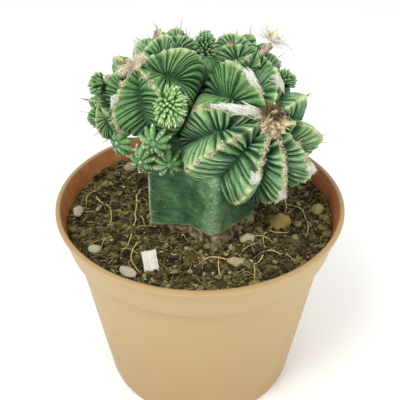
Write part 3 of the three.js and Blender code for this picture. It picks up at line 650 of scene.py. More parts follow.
def headShape(head):
    shapes = []
    rimSteps = head["rimPleats"] * headForm["pleatSteps"]
    for rib in range(len(head["ribs"])):
        fan = head.get("fans", {}).get(rib, headForm["fan"])
        sides = {}
        for side in (-1, 1):
            points, marks = halfHollow(head, rib, side, fan)
            sides[side] = points
            faces = gridFaces(*points.shape[:2])
            shapes.append(shapeOf(points, faces if side > 0 else faces[:, ::-1], **marks))
        left = sides[-1][-rimSteps - 1:, -1]
        right = sides[1][-rimSteps - 1:-1, -1][::-1]
        rim = np.concatenate([left, right])
        rows = [rim]
        for share, lower in headForm["underside"]:
            row = rim * [share, share, 1]
            row[:, 2] = mix(row[:, 2], rim[:, 2].mean(), 1 - share) - lower * head["radius"]
            rows.append(row if share > 0 else np.tile([[0, 0, -lower * head["radius"]]], (len(rim), 1)))
        under = np.stack(rows)
        faces = gridFaces(*under.shape[:2])[:, ::-1]
        # the underside gets half of the painted shade
        shapes.append(shapeOf(under, faces, crest=0.55, along=1.0, ray=1.0, tone=0.5, deep=0.5))
    return joined(shapes)


def headWorld(head, local):
    return np.asarray(head["centre"]) + local @ axesOf(head["axis"])


def pressPlanes(head):                      # where each neighbour presses on it: a direction and a reach
    planes = []
    for other in heads:
        towards = np.subtract(other["centre"], head["centre"])
        apart = np.linalg.norm(towards)
        if other is not head and apart <= head["radius"] + other["radius"] + 3:
            reach = (apart ** 2 + head["radius"] ** 2 - other["radius"] ** 2) / (2 * apart)
            planes.append((towards / apart, reach - headForm["clearance"] / 2))
    return planes


def pressed(head, points):
    centre = np.asarray(head["centre"])
    soft = headForm["press"]
    for direction, reach in pressPlanes(head):
        out = points - centre
        height = out @ direction
        kept = reach - soft * np.logaddexp(0, (reach - height) / soft)
        near = height > max(reach - 5 * soft, 0.5)
        scale = np.where(near, kept / np.where(near, height, 1), 1)
        points = centre + out * scale[:, None]
    return points


def hasRoom(head, point, margin):           # whether a point stands clear of the head's neighbours
    out = np.asarray(point) - np.asarray(head["centre"])
    return all(out @ direction < reach - margin for direction, reach in pressPlanes(head))


def headSkin():
    c = headColours
    material, tree, shader = newMaterial("pleated_skin", 0.5, Specular_IOR_Level=0.16, Subsurface_Weight=0.08,
                                         Subsurface_Radius=(0.35, 0.8, 0.25), Subsurface_Scale=0.0008)
    crest, ray, groove = mark(tree, "crest"), mark(tree, "ray"), mark(tree, "groove")
    patchy = maskOf(tree, mottle, Size=2.6, Contrast=1.0)
    broad = maskOf(tree, mottle, Size=7.0, Contrast=1.2)
    fine = maskOf(tree, mottle, Size=0.5, Contrast=1.2)
    # darker towards the furrow in each hollow's middle: painted shade; the paler crest is the ribs' own
    # yellowish margin
    stops = [(0.05, c["furrow"]), (0.35, c["flank"]), (0.7, c["shoulder"]), (0.95, c["crest"])]
    skin = ramp(tree, swayed(tree, crest, patchy, 0.3), stops)
    skin = coated(tree, skin, c["blue"], broad, 0.5)
    spot = {"X": times(tree, mark(tree, "pleat"), 5.2), "Y": times(tree, ray, 3.0), "Z": broad}
    spot = addNode(tree, "CombineXYZ", spot).outputs["Vector"]
    lines = addNode(tree, "TexNoise", {"Vector": spot, "Scale": 1.0, "Detail": 3.0}).outputs["Fac"]
    # the pleats' tops are paler: partly a waxy bloom, partly a painted highlight
    ridge = calc(tree, "SUBTRACT", 1.0, groove)         # the pleats' tops, with fine lines along them
    top = times(tree, remap(tree, ridge, 0.7, 1.0), remap(tree, ray, 0.02, 0.4))
    skin = coated(tree, skin, c["ridge"], top, remap(tree, lines, 0.4, 0.64, 0.08, 0.85))
    skin = coated(tree, skin, c["young"], remap(tree, mark(tree, "tone"), 0.0, 1.0, 0.0, 0.4), crest)
    outer = calc(tree, "ADD", mark(tree, "along"), times(tree, patchy, 0.12))
    skin = coated(tree, skin, c["rim"], remap(tree, outer, 0.78, 1.05, 0.0, 0.75), crest)
    # painted shade: the hollows listed in deep are darkened and tinted blue
    skin = blendColour(tree, mark(tree, "deep"), skin, blendColour(tree, 1.0, skin, c["deep"], "MULTIPLY"))
    # painted shade in the pleats' grooves
    dark = remap(tree, calc(tree, "ADD", groove, times(tree, lines, 0.2)), 0.22, 0.8)
    skin = coated(tree, skin, c["groove"], dark, 0.95)
    edge = remap(tree, swayed(tree, crest, patchy, 0.16), 0.84, 0.99)
    skin = coated(tree, skin, c["tooth"], times(tree, edge, remap(tree, ridge, 0.5, 0.95)), 0.55)
    scars = maskOf(tree, flecks, Size=1.1, Share=0.3, Spot=0.36)
    skin = coated(tree, skin, c["scar"], scars, times(tree, edge, 0.7))
    skin = coated(tree, skin, c["ridge"], fine, 0.12)
    plug(tree, shader.inputs["Roughness"], remap(tree, patchy, 0.0, 1.0, 0.42, 0.6))
    paint(tree, shader, skin, calc(tree, "ADD", times(tree, fine, 0.5), times(tree, lines, 2.0)), 0.5, 0.2)
    return material


headMaterial = headSkin()
for head in heads:
    shape = headShape(head)
    shape["points"] = pressed(head, headWorld(head, shape["points"]))
    makePiece(head["name"] + "_skin", outward(shape), headMaterial, [head["name"]], weld=0.012)

# Old flesh between the heads, on which they and the bunches sit
fleshLumps = [{"at": (2, 9.5, 101), "half": (4.5, 5.5, 9)}, {"at": (22.5, 9, 98.5), "half": (4.5, 5, 6)}]


def fleshShape(lump):
    ball, faces = icoPoints(4)
    points = ball * (1 + 0.06 * roughNoise(ball, 0.6, 2))[:, None] * lump["half"] + lump["at"]
    # the flesh between the heads gets the full painted shade
    return shapeOf(points, faces, crest=0.3, ray=1.0, deep=1.0)


makePiece("head_flesh", joined([fleshShape(lump) for lump in fleshLumps]), headMaterial)
print("stage: heads made")

# Stem of the stock: flat faces between blunt ribs, each a direction in degrees and a reach, over a corky foot
stem = {
    "ribs": [(75, 17.5), (148, 17), (201, 17.2), (283, 20.8), (345, 18.6)],
    "furrows": [(112, 11.5), (176, 12.5), (247, 11.2), (322, 14.5), (28, 11.5)],   # each follows its rib
    "levels": [55, 59, 64, 82, 88, 91], "shares": [0.88, 0.99, 1, 1, 0.9, 0.6],
    "corkTurns": [28, 75, 148, 201, 216, 230, 249, 262, 271, 281, 288, 297, 311, 325, 345, 388],
    "corkTops": [63, 62.5, 62, 60.6, 61.5, 62.3, 63, 63.8, 64.2, 65, 65.5, 65, 63.6, 62.8, 63.8, 63],
    "sides": 280, "rows": 80, "round": 7, "blunt": 54, "sharpRib": 201, "flare": 1.3,
    # the furrows' width is that of the painted shade in them
    "edgeWidth": 3, "nose": 280, "noseWidth": 12, "hollowWidth": 11,        # marks for the skin, in degrees
    "spines": 3, "spineGap": 3.2, "spineTurns": (-0.5, 0.1, 0.6),
    "green": "37633c", "light": "57855a", "dark": "1c3f26", "pale": "86a67e", "edge": "c3d0b4",
    "mealy": "c9d2bd", "cork": "62543b", "corkPale": "958866", "corkDark": "2f2618", "corkLip": "aba179",
    "horn": "3d3022", "hornPale": "9c8a6a",
}


def stemSection():
    corners = [corner for pair in zip(stem["ribs"], stem["furrows"]) for corner in pair]
    turn, reach = np.radians([c[0] for c in corners]), np.array([c[1] for c in corners])
    flat = np.stack([reach * np.cos(turn), reach * np.sin(turn)], -1)
    flat = np.concatenate([flat, flat[:1]])
    travelled = np.concatenate([[0], np.cumsum(np.linalg.norm(np.diff(flat, axis=0), axis=1))])
    spots = np.linspace(0, travelled[-1], stem["sides"], endpoint=False)
    section = np.stack([np.interp(spots, travelled, flat[:, i]) for i in (0, 1)], -1)
    for step in range(stem["blunt"]):       # blunts the ribs and eases the furrows, but one rib stays sharper
        eased = (np.roll(section, 1, 0) + 2 * section + np.roll(section, -1, 0)) / 4
        turn = np.degrees(np.arctan2(section[:, 1], section[:, 0])) % 360
        soft = 1 - np.exp(-((turn - stem["sharpRib"]) / 14) ** 2) * (step > stem["round"])
        section = mix(section, eased, soft[:, None])
    return section


def stemReach(turn):
    turns, reaches = zip(*sorted(stem["ribs"] + stem["furrows"]))
    return np.interp(np.asarray(turn, float) % 360, turns, reaches, period=360)


def bandRound(turn, middle, width):         # a soft upright band, 1 at its middle
    return np.exp(-(((turn - middle + 180) % 360 - 180) / width) ** 2)


def stemSpines():
    s = stem
    roots, leans = [], []
    for direction, reach in s["ribs"]:
        angle = math.radians(direction)
        for i in range(s["spines"]):
            level = potHeight - 6 + s["spineGap"] * (i + 1)
            for turnBy in s["spineTurns"]:
                roots.append([math.cos(angle) * (reach - 1.2), math.sin(angle) * (reach - 1.2), level])
                leans.append([math.cos(angle + turnBy), math.sin(angle + turnBy), 0.35 - 0.3 * turnBy])
    rng = np.random.default_rng(41)
    bends = 0.25 * randomUnit(rng, len(roots))
    paths = bentPaths(np.array(roots), unit(leans), rng.uniform(1.8, 3.0, len(roots)), bends, 5)
    return strands(paths, 0.1 * taper(5), 4)


def stemShape():
    s = stem
    section = stemSection()
    turn = np.degrees(np.arctan2(section[:, 1], section[:, 0])) % 360
    steps = [s["levels"][0], max(s["corkTops"]) + 3, s["levels"][-1]]       # half of the rows are at the foot
    height = np.interp(np.linspace(0, 1, s["rows"]), [0, 0.5, 1], steps)
    share = np.interp(height, s["levels"], s["shares"])
    for _ in range(3):                      # eases the bends between levels
        share[1:-1] = (share[:-2] + share[1:-1] * 2 + share[2:]) / 4
    levels = np.broadcast_to(height[:, None, None], (s["rows"], s["sides"], 1))
    points = np.concatenate([section[None] * share[:, None, None], levels], -1)
    bands = [(bandRound(turn, rib, s["edgeWidth"]), rib) for rib, _ in s["ribs"]]
    edges = [band * (1 if rib == s["sharpRib"] else 0.35) for band, rib in bands]
    # painted shade in each furrow between the ribs
    furrowShades = [bandRound(turn, furrow, s["hollowWidth"]) for furrow, _ in s["furrows"]]
    boundary = np.interp(turn, s["corkTurns"], s["corkTops"], period=360)[None, :]
    boundary = boundary + 0.4 * smoothNoise(points, 2.6, 2)
    below = boundary - points[..., 2]
    cork = smoothStep(below / 0.5 + 0.5)
    lip = np.exp(-((below + 0.1) / 0.3) ** 2)
    outwards = unit(points * [1, 1, 0])
    flare = s["flare"] * np.clip(below / 5, 0, 1) ** 1.5
    rough = 0.4 * roughNoise(points * [1, 1, 2.0], 1.7, 5) - 0.3 + flare
    rings = np.sin(points[..., 2] * 2.8 + 2 * smoothNoise(points, 5, 3))
    smooth = 0.16 * smoothNoise(points, 6, 1) + 0.035 * rings
    points = points + outwards * (mix(smooth, rough, cork) + 0.14 * lip)[..., None]
    marks = {
        "cork": cork, "lip": lip, "edge": np.max(edges, axis=0), "hollow": np.max(furrowShades, axis=0),
        "nose": bandRound(turn, s["nose"], s["noseWidth"]),
    }
    foot = np.broadcast_to([[0, 0, height[0]]], (1, s["sides"], 3))
    top = np.broadcast_to([[0, 0, height[-1]]], (1, s["sides"], 3))
    rows = np.concatenate([foot, points, top])
    for name, value in marks.items():
        value = np.broadcast_to(value, cork.shape)
        marks[name] = np.concatenate([value[:1], value, value[-1:]])
    return outward(shapeOf(rows, gridFaces(len(rows), s["sides"], True), **marks))


def stemSkin():
    s = stem
    material, tree, shader = newMaterial("stock_skin", 0.4, Specular_IOR_Level=0.3, Coat_Roughness=0.35,
                                         Subsurface_Weight=0.05, Subsurface_Radius=(0.3, 0.7, 0.25),
                                         Subsurface_Scale=0.001)
    patches = maskOf(tree, mottle, Size=9.0, Contrast=1.5)
    fine = maskOf(tree, mottle, Size=0.7, Contrast=1.0)
    green = ramp(tree, patches, [(0.1, s["dark"]), (0.5, s["green"]), (0.95, s["light"])])
    green = coated(tree, green, s["pale"], fine, 0.18)
    level = maskOf(tree, streaks, Size=2.4, Level=0.4, Upright=4.5, Cut=0.54)
    green = coated(tree, green, s["pale"], level, 0.2)
    scratch = maskOf(tree, streaks, Size=3.4, Level=0.8, Upright=5.0, Cut=0.64)
    green = coated(tree, green, s["edge"], scratch, 0.35)
    # painted shade: darker in the furrows between the ribs
    green = coated(tree, green, s["dark"], mark(tree, "hollow"), 0.55)
    mealy = times(tree, maskOf(tree, mottle, Size=5.0, Contrast=1.2), mark(tree, "nose"))
    green = blendColour(tree, remap(tree, mealy, 0.15, 0.7, 0.0, 0.5), green, s["pale"])
    specks = maskOf(tree, flecks, Size=0.75, Share=0.5, Spot=0.34)
    green = coated(tree, green, s["cork"], times(tree, specks, remap(tree, mealy, 0.15, 0.45)), 0.7)
    crumbs = times(tree, maskOf(tree, flecks, Size=0.5, Share=0.45, Spot=0.36), mealy)
    green = blendColour(tree, remap(tree, crumbs, 0.2, 0.7, 0.0, 0.6), green, s["mealy"])
    edge = remap(tree, mark(tree, "edge"), 0.3, 1.0, 0.0, 0.95)
    green = coated(tree, green, s["edge"], edge, remap(tree, level, 0.0, 0.6, 0.55, 1.0))
    cork = mark(tree, "cork")
    bark = maskOf(tree, mottle, Size=1.6, Contrast=1.3)
    brown = ramp(tree, bark, [(0.1, s["corkDark"]), (0.5, s["cork"]), (0.95, s["corkPale"])])
    colour = blendColour(tree, cork, green, brown)
    colour = coated(tree, colour, s["corkLip"], mark(tree, "lip"), 0.75)
    shine = remap(tree, fine, 0.0, 1.0, 0.3, 0.46)
    dull = addNode(tree, "Mix", {"Factor": cork, "A": shine, "B": 0.9}, data_type="FLOAT")
    plug(tree, shader.inputs["Roughness"], dull.outputs["Result"])
    plug(tree, shader.inputs["Coat Weight"], times(tree, calc(tree, "SUBTRACT", 1.0, cork), 0.25))
    paint(tree, shader, colour, calc(tree, "ADD", times(tree, level, 0.4), fine), 0.4, 0.15)
    return material


def spineHorn():
    material, tree, shader = newMaterial("spine_horn", 0.45)
    patches = maskOf(tree, mottle, Size=1.0, Contrast=1.2)
    colour = ramp(tree, patches, [(0.2, stem["horn"]), (0.8, stem["hornPale"])])
    paint(tree, shader, colour, patches, 0.2, 0.04)
    return material


hornMaterial = spineHorn()
makePiece("stock_stem", stemShape(), stemSkin(), ["stem"], weld=0.01)
makePiece("stock_spines", stemSpines(), hornMaterial)
print("stage: stem made")

# Soil: damp bark and peat, with grains, bark flakes, straw and roots
soil = {
    "level": 60, "mound": 1.2, "rough": 0.9, "dip": 1.0, "inset": 0.3, "rings": 90, "sectors": 230,
    "grains": 3300, "flakes": 260, "chunks": 60, "fibres": 1300, "straws": 36,
    "black": "141107", "dark": "383014", "brown": "625630", "ochre": "8f834f", "pale": "bdb68d",
    "fibreDark": "3a2d1a", "fibreBrown": "77643a", "fibreTan": "a8935a", "straw": "c9b87c",
    "rootSteps": 26, "rootWander": 0.35,
    "roots": [                              # thin roots and straws: places on the soil, and thickness
        [(-20, 12.5), (-20.6, 3.8), (-20.2, -4.4), (-20.8, -13.7), (-23.4, -20.6), 0.3],
        [(-16, -14), (-19.5, -18), (-20.5, -24), (-17, -30), 0.22],
        [(19.4, -17.2), (18.4, -22.5), (15.6, -27), (15.2, -32), 0.26],
        [(20, -21), (24, -22), (28.5, -26), 0.2],
        [(-34, 8), (-29, 3), (-27.5, -4), (-29.5, -10), 0.22],
        [(-12, -21), (-6, -23.5), (0, -23), (4.5, -26), 0.2],
        [(28, 4), (33, -1), (34, -8), (31.5, -15), 0.22],
    ],
}
bandFootHeight = potHeight - pot["bandHeight"]
soilGap = pot["wall"] + soil["inset"]       # from the pot's outside to the soil
soilReach = mix(pot["bandFoot"], rimRadius, (soil["level"] - bandFootHeight) / pot["bandHeight"]) - soilGap


def soilHeight(x, y):                       # a low mound with long waves
    away = np.hypot(x, y)
    waves = np.sin(x * 0.42 + 1.3) * np.cos(y * 0.37) + 0.6 * np.sin(x * 0.9 - y * 0.7)
    return soil["level"] + soil["mound"] * np.exp(-((away / 26) ** 2)) + soil["rough"] * 0.4 * waves


def crumbHeight(x, y):                      # the soil's level with its crumbs, a little lower beside the stem
    flat = np.stack([x, y, np.zeros_like(x)], -1)
    lumps = 0.85 * roughNoise(flat, 4.2, 7) + 0.55 * np.abs(roughNoise(flat, 1.3, 9, 2)) - 0.15
    beside = np.hypot(x, y) - stemReach(np.degrees(np.arctan2(y, x)))
    return soilHeight(x, y) + lumps - soil["dip"] * np.exp(-(beside / 5) ** 2)


def soilShape():
    s = soil
    turn = ringTurns(s["sectors"])
    radius = soilReach * np.linspace(0.002, 1, s["rings"]) ** 0.85
    x = radius[:, None] * np.cos(turn)
    y = radius[:, None] * np.sin(turn)
    top = np.stack([x, y, crumbHeight(x, y)], -1)
    floor = pot["footDepth"] + pot["wall"]
    sides = [
        (pot["bandFoot"] - soilGap, bandFootHeight + 2), (pot["bodyTop"] - soilGap, bandFootHeight - 1),
        (pot["bodyFoot"] - soilGap - 0.5, floor + 1.6), (0.05, floor + s["inset"]),
    ]
    under = [np.stack([r * np.cos(turn), r * np.sin(turn), np.full_like(turn, z)], -1) for r, z in sides]
    rows = np.concatenate([top, np.stack(under)])
    return outward(shapeOf(rows, gridFaces(len(rows), s["sectors"], True)))


def scatter(rng, count, clear=0.8):         # spots on the soil, away from the stem and the wall
    spots = np.zeros((0, 2))
    while len(spots) < count:
        away = (soilReach - 0.8) * np.sqrt(rng.uniform(0, 1, count * 2))
        turn = rng.uniform(0, 2 * math.pi, count * 2)
        keep = away > stemReach(np.degrees(turn)) * 0.88 + clear
        spots = np.concatenate([spots, np.stack([away * np.cos(turn), away * np.sin(turn)], -1)[keep]])
    return spots[:count]


def onSoil(spots, lift=0.0):
    return np.column_stack([spots, crumbHeight(spots[:, 0], spots[:, 1]) + lift])


def keptWithin(flat, reach):                # draws places in to a reach from the pot's axis
    away = np.linalg.norm(flat, axis=-1, keepdims=True)
    return flat * np.minimum(1, reach / np.maximum(away, 1e-6))


def grainShapes():
    s = soil
    rng = np.random.default_rng(11)
    sizes = 0.26 + 0.75 * rng.uniform(0, 1, s["grains"]) ** 2.6         # many small ones, a few large
    centres = onSoil(scatter(rng, s["grains"]))
    centres[:, 2] += sizes * 0.25
    patchy = 0.22 * smoothNoise(centres, 7, 21)
    shades = np.clip(rng.normal(0.42, 0.22, s["grains"]) + patchy, 0, 1)
    lumps = [pebbles(rng, centres, sizes, 0.8, 0.35, 1, shade=shades)]
    for kind, clear, lift, small, large, flatness, dents, steps, dark, light in (
        ("flakes", 0.8, 0.35, 0.6, 1.5, 0.45, 0.3, 1, 0.25, 0.75),
        ("chunks", 2.0, 0.2, 1.0, 2.0, 0.6, 0.2, 2, 0.2, 0.7),
    ):
        centres = onSoil(scatter(rng, s[kind], clear), lift)
        sizes = rng.uniform(small, large, s[kind])
        shades = rng.uniform(dark, light, s[kind])
        lumps.append(pebbles(rng, centres, sizes, flatness, dents, steps, shade=shades))
    every = joined(lumps)
    every["points"][:, :2] = keptWithin(every["points"][:, :2], soilReach + 0.1)
    return every


def lyingPaths(rng, count, shortest, longest, arch, steps, curl):       # strands that lie in low arches
    start = scatter(rng, count, 1.2)
    length = rng.uniform(shortest, longest, count)
    heading = rng.uniform(0, 2 * math.pi, count)
    bend = rng.normal(0, curl, count)
    share = np.linspace(0, 1, steps)
    angle = heading[:, None] + bend[:, None] * share
    stride = (length / (steps - 1))[:, None, None] * np.stack([np.cos(angle), np.sin(angle)], -1)
    flat = keptWithin(start[:, None] + np.cumsum(stride, 1) - stride, soilReach - 0.6)
    inner = stemReach(np.degrees(np.arctan2(flat[..., 1], flat[..., 0])))[..., None] * 0.95 + 0.4
    flat = flat * np.maximum(1, inner / np.maximum(np.linalg.norm(flat, axis=-1, keepdims=True), 1e-6))
    rise = crumbHeight(flat[..., 0], flat[..., 1])
    rise = mix(rise, rise.mean(1, keepdims=True), 0.5)
    rise = rise + arch * np.sin(math.pi * share) * rng.uniform(0.2, 1, (count, 1))
    return np.concatenate([flat, (rise + 0.25)[..., None]], -1)


def laidRoot(root, seed):                   # one root through its places, its bends eased and a little uneven
    steps = soil["rootSteps"]
    places, share = np.array(root[:-1]), np.linspace(0, len(root) - 2, steps)
    flat = np.stack([np.interp(share, range(len(places)), places[:, axis]) for axis in (0, 1)], -1)
    for _ in range(5):
        flat[1:-1] = (flat[:-2] + flat[1:-1] * 2 + flat[2:]) / 4
    spots = np.column_stack([flat, flat[:, :1]])
    flat = flat + soil["rootWander"] * np.stack([smoothNoise(spots, 2.5, seed + axis) for axis in (0, 1)], -1)
    rise = crumbHeight(flat[:, 0], flat[:, 1]) + 0.45
    return strands(np.column_stack([flat, rise])[None], root[-1] * taper(steps, 1, 0.45), 6, shade=0.9)


def fibreShapes():
    s = soil
    rng = np.random.default_rng(12)
    count = s["fibres"]
    fine = lyingPaths(rng, count, 1.8, 6.5, 0.7, 5, 1.2)
    widths = rng.uniform(0.05, 0.12, (count, 1)) * taper(5)
    thin = strands(fine, widths, 3, shade=rng.uniform(0.15, 1, count))
    count = s["straws"]
    thick = lyingPaths(rng, count, 4, 10, 1.6, 9, 0.8)
    widths = rng.uniform(0.12, 0.24, (count, 1)) * taper(9, 1, 0.4)
    straw = strands(thick, widths, 4, shade=rng.uniform(0.55, 1, count))
    return joined([thin, straw] + [laidRoot(root, 60 + 2 * i) for i, root in enumerate(s["roots"])])


def soilMix():
    s = soil
    material, tree, shader = newMaterial("damp_soil", 0.92, Specular_IOR_Level=0.25)
    coarse = maskOf(tree, mottle, Size=2.4, Contrast=1.4)
    fine = maskOf(tree, mottle, Size=0.4, Contrast=1.3)
    blend = calc(tree, "ADD", times(tree, coarse, 0.55), times(tree, fine, 0.45))
    colour = ramp(tree, blend, [(0.25, s["black"]), (0.5, s["dark"]), (0.68, s["brown"]), (0.9, s["ochre"])])
    paint(tree, shader, colour, fine, 0.9, 0.4)
    return material


grainStops = [(0.05, soil["black"]), (0.35, soil["dark"]), (0.6, soil["brown"]), (0.8, soil["ochre"]),
              (0.98, soil["pale"])]
fibreStops = [(0.1, soil["fibreDark"]), (0.45, soil["fibreBrown"]), (0.75, soil["fibreTan"]),
              (1.0, soil["straw"])]
grit = shadedFinish("bark_and_grit", 0.85, (0.5, 1.0), 0.3, grainStops, 0.6, 0.2, Specular_IOR_Level=0.3)
strawFibre = shadedFinish("straw_fibre", 0.7, (0.8, 1.0), 0.4, fibreStops, 0.3, 0.05, Specular_IOR_Level=0.3)
makePiece("soil_bed", soilShape(), soilMix(), ["soil"], weld=0.005)
makePiece("soil_grains", grainShapes(), grit, flat=True)
makePiece("soil_fibres", fibreShapes(), strawFibre)
print("stage: soil made")

# Stones on the soil: middle, half sizes, turn in degrees, and tone from pale grey at 0 to ochre at 1
stones = [
    {"name": "stone_ochre", "at": (25, -6.8, 61.4), "half": (3.4, 2.8, 2.5), "turn": 20, "tone": 0.95},
    {"name": "stone_pale", "at": (14.4, -15.4, 61.4), "half": (2.5, 1.9, 1.7), "turn": 20, "tone": 0.3},
    {"name": "stone_front", "at": (10.4, -26.2, 61), "half": (2.3, 1.9, 1.6), "turn": -15, "tone": 0.5},
    {"name": "stone_right", "at": (37.6, 0.8, 60.8), "half": (2.6, 2, 1.7), "turn": 70, "tone": 0.75},
    {"name": "stone_back_right", "at": (33.8, 18.2, 61.2), "half": (2, 1.9, 2), "turn": 10, "tone": 0.5},
    {"name": "stone_left", "at": (-31.3, -19.8, 60.9), "half": (1.9, 1.6, 1.5), "turn": 35, "tone": 0.15},
    {"name": "stone_front_left", "at": (-20.5, -30, 60.6), "half": (2.8, 1.8, 1.5), "turn": -40, "tone": 0.1},
    {"name": "stone_rim_left", "at": (-38.6, -0.6, 61), "half": (1.7, 2.2, 1.6), "turn": 5, "tone": 0.4},
    {"name": "stone_back_left", "at": (-24, 27, 60.6), "half": (2.6, 2.2, 1.6), "turn": 60, "tone": 0.5},
]
stoneForm = {"dents": 9, "dentAt": 0.78, "pits": 0.09, "pale": "bbb89f", "ochre": "a58a48", "dirt": "453c22"}


def stoneShape(stone, seed):
    rng = np.random.default_rng(seed)
    ball, faces = icoPoints(4)
    for dent in randomUnit(rng, stoneForm["dents"]):
        above = ball @ dent - stoneForm["dentAt"]
        ball = ball - np.clip(above, 0, None)[:, None] * dent * 0.9
    ball = ball * (1.08 + stoneForm["pits"] * roughNoise(ball, 0.9, seed, 4))[:, None]
    low = smoothStep((-ball[:, 2] + 0.1) / 0.5)
    points = turned(ball * stone["half"], 2, stone["turn"]) + stone["at"]
    return outward(shapeOf(points, faces, tone=stone["tone"], low=low))


def stoneFinish():
    s = stoneForm
    material, tree, shader = newMaterial("grit_stone", 0.8, Specular_IOR_Level=0.35)
    patches = maskOf(tree, mottle, Size=1.6, Contrast=1.2)
    fine = maskOf(tree, mottle, Size=0.35, Contrast=1.2)
    pores = maskOf(tree, flecks, Size=0.45, Share=0.35, Spot=0.3)
    colour = blendColour(tree, swayed(tree, mark(tree, "tone"), patches, 0.45), s["pale"], s["ochre"])
    # darker in fine patches, in the pores and towards the bottom
    for mask, amount in ((fine, 0.35), (mark(tree, "low"), 0.7), (pores, 0.5)):
        colour = coated(tree, colour, s["dirt"], mask, amount)
    plug(tree, shader.inputs["Roughness"], remap(tree, patches, 0.0, 1.0, 0.7, 0.92))
    paint(tree, shader, colour, calc(tree, "SUBTRACT", fine, times(tree, pores, 0.6)), 0.6, 0.25)
    return material


stoneMaterial = stoneFinish()
for seed, stone in enumerate(stones):
    makePiece(stone["name"] + "_lump", stoneShape(stone, seed + 60), stoneMaterial, [stone["name"]])

# White fluted chip that leans in the soil in front of the stem
chip = {
    "at": (-14.2, -27.8, 62), "size": (4.2, 2, 7.2), "flutes": 4, "fluteDepth": 0.32, "lean": 42, "turn": 16,
    "jag": 0.9, "boxy": 0.45, "around": 104, "rows": 32,
    "white": "dedccf", "shade": "a9a793", "stain": "8a7b55",
}


def chipShape():
    c = chip
    wide, thick, tall = c["size"]
    turn = ringTurns(c["around"])
    x = wide / 2 * np.sign(np.cos(turn)) * np.abs(np.cos(turn)) ** c["boxy"]
    y = thick / 2 * np.sign(np.sin(turn)) * np.abs(np.sin(turn)) ** c["boxy"]
    flute = np.where(y < 0, np.abs(np.sin(math.pi * c["flutes"] * (x / wide + 0.5))), 0)    # on its front
    y = y + c["fluteDepth"] * flute
    height = np.linspace(-1, 1, c["rows"])[:, None]
    jag = c["jag"] * (smoothNoise(np.stack([x * 1.3, y, 0 * x], -1), 0.9, 5) + 0.5 * np.sin(x * 4.5))
    z = tall / 2 * height + np.where(height > 0, 0.6, 0.35) * jag * np.abs(height) ** 4
    body = np.stack([np.broadcast_to(x, z.shape), np.broadcast_to(y, z.shape), z], -1)
    body[..., :2] *= (1 + 0.05 * roughNoise(body, 1.6, 8))[..., None]
    caps = []
    for row, sign in ((body[0], -1), (body[-1], 1)):
        inner = [mix(np.array([0, 0.1, sign * tall / 2]), row, share) for share in (0.75, 0.4, 0.0)]
        for ring in inner[:2]:
            ring[:, 2] += 0.12 * smoothNoise(ring, 0.5, 3)
        caps.append(inner if sign > 0 else inner[::-1])
    points = np.concatenate([np.stack(caps[0]), body, np.stack(caps[1])])
    low = smoothStep((-points[..., 2] - 1.0) / 2.2)
    placed = turned(turned(points, 0, -c["lean"]), 2, c["turn"]) + c["at"]
    groove = np.broadcast_to(flute, points.shape[:2])
    return outward(shapeOf(placed, gridFaces(len(points), c["around"], True), groove=groove, low=low))


def chipFinish():
    c = chip
    material, tree, shader = newMaterial("pale_chip", 0.75, Specular_IOR_Level=0.35)
    lengthways = maskOf(tree, streaks, Size=0.9, Level=2.6, Upright=0.6, Cut=0.5)
    patches = maskOf(tree, mottle, Size=1.6, Contrast=1.1)
    colour = coated(tree, c["white"], c["shade"], lengthways, 0.3)
    colour = coated(tree, colour, c["shade"], mark(tree, "groove"), 0.4)
    # browner in patches and towards the bottom
    stain = calc(tree, "ADD", times(tree, patches, 0.2), times(tree, mark(tree, "low"), 0.7))
    colour = blendColour(tree, stain, colour, c["stain"])
    paint(tree, shader, colour, calc(tree, "ADD", lengthways, patches), 0.35, 0.12)
    return material


makePiece("chip_fluted", chipShape(), chipFinish(), ["chip"], weld=0.005)
print("stage: stones and chip made")


# Seats on the heads
def seatOn(name, rib, across, along, lift):     # the middle of a small piece, and where it points
    head = headNamed(name)
    spot = hollowPoint(head, rib, across, along)
    axis = unit(spot)
    return headWorld(head, spot + axis * lift), axis @ axesOf(head["axis"])


# Offsets: tubercles round a body, each with a dot of wool at its tip. A pup has a star of plump ribs that run
# out from its middle; a bunch has a count of short ones spread evenly over its fan.
offsets = [
    {"name": "pup_a", "seat": ((-22.6, -3.6, 88), (-0.6, -0.7, 0.3)), "body": 2.3, "reach": 4.6},
    {"name": "pup_b", "seat": ((-12.3, -12.5, 94.2), (-0.2, -0.95, 0.1)), "body": 2.4, "reach": 4.7},
    {"name": "pup_c", "seat": ((-16.1, -7.8, 85.1), (-0.4, -0.9, 0.1)), "body": 2.4, "reach": 4.8},
    {"name": "pup_d", "seat": ((-9.1, -10, 85.4), (0.1, -0.98, 0.15)), "body": 2.4, "reach": 4.7},
    {"name": "bunch_front", "seat": seatOn("head_left", 6, -1, 0.56, 0.6), "body": 3.3, "reach": 4.6,
     "count": 96, "fan": 98, "stretch": (1, 1.45, 1), "girth": 0.5, "dot": 0.15, "young": 0.8},
    {"name": "bunch_top", "seat": ((1.3, 10.6, 111.4), (0.1, -0.1, 0.99)), "body": 2.3, "reach": 3.5,
     "count": 110, "fan": 125, "stretch": (1, 1.15, 2), "girth": 0.46, "dot": 0.14, "young": 0.1},
    {"name": "bunch_left", "seat": seatOn("head_left", 4, -1, 0.5, 0.3), "body": 2.4, "reach": 3.7,
     "count": 60, "fan": 100, "girth": 0.46, "dot": 0.1, "young": 0.15},
    {"name": "bunch_right", "seat": ((24.6, 5, 103.6), (0.5, 0.1, 0.85)), "body": 2.4, "reach": 3.7,
     "count": 62, "fan": 100, "girth": 0.46, "dot": 0.1, "young": 0.05},
]
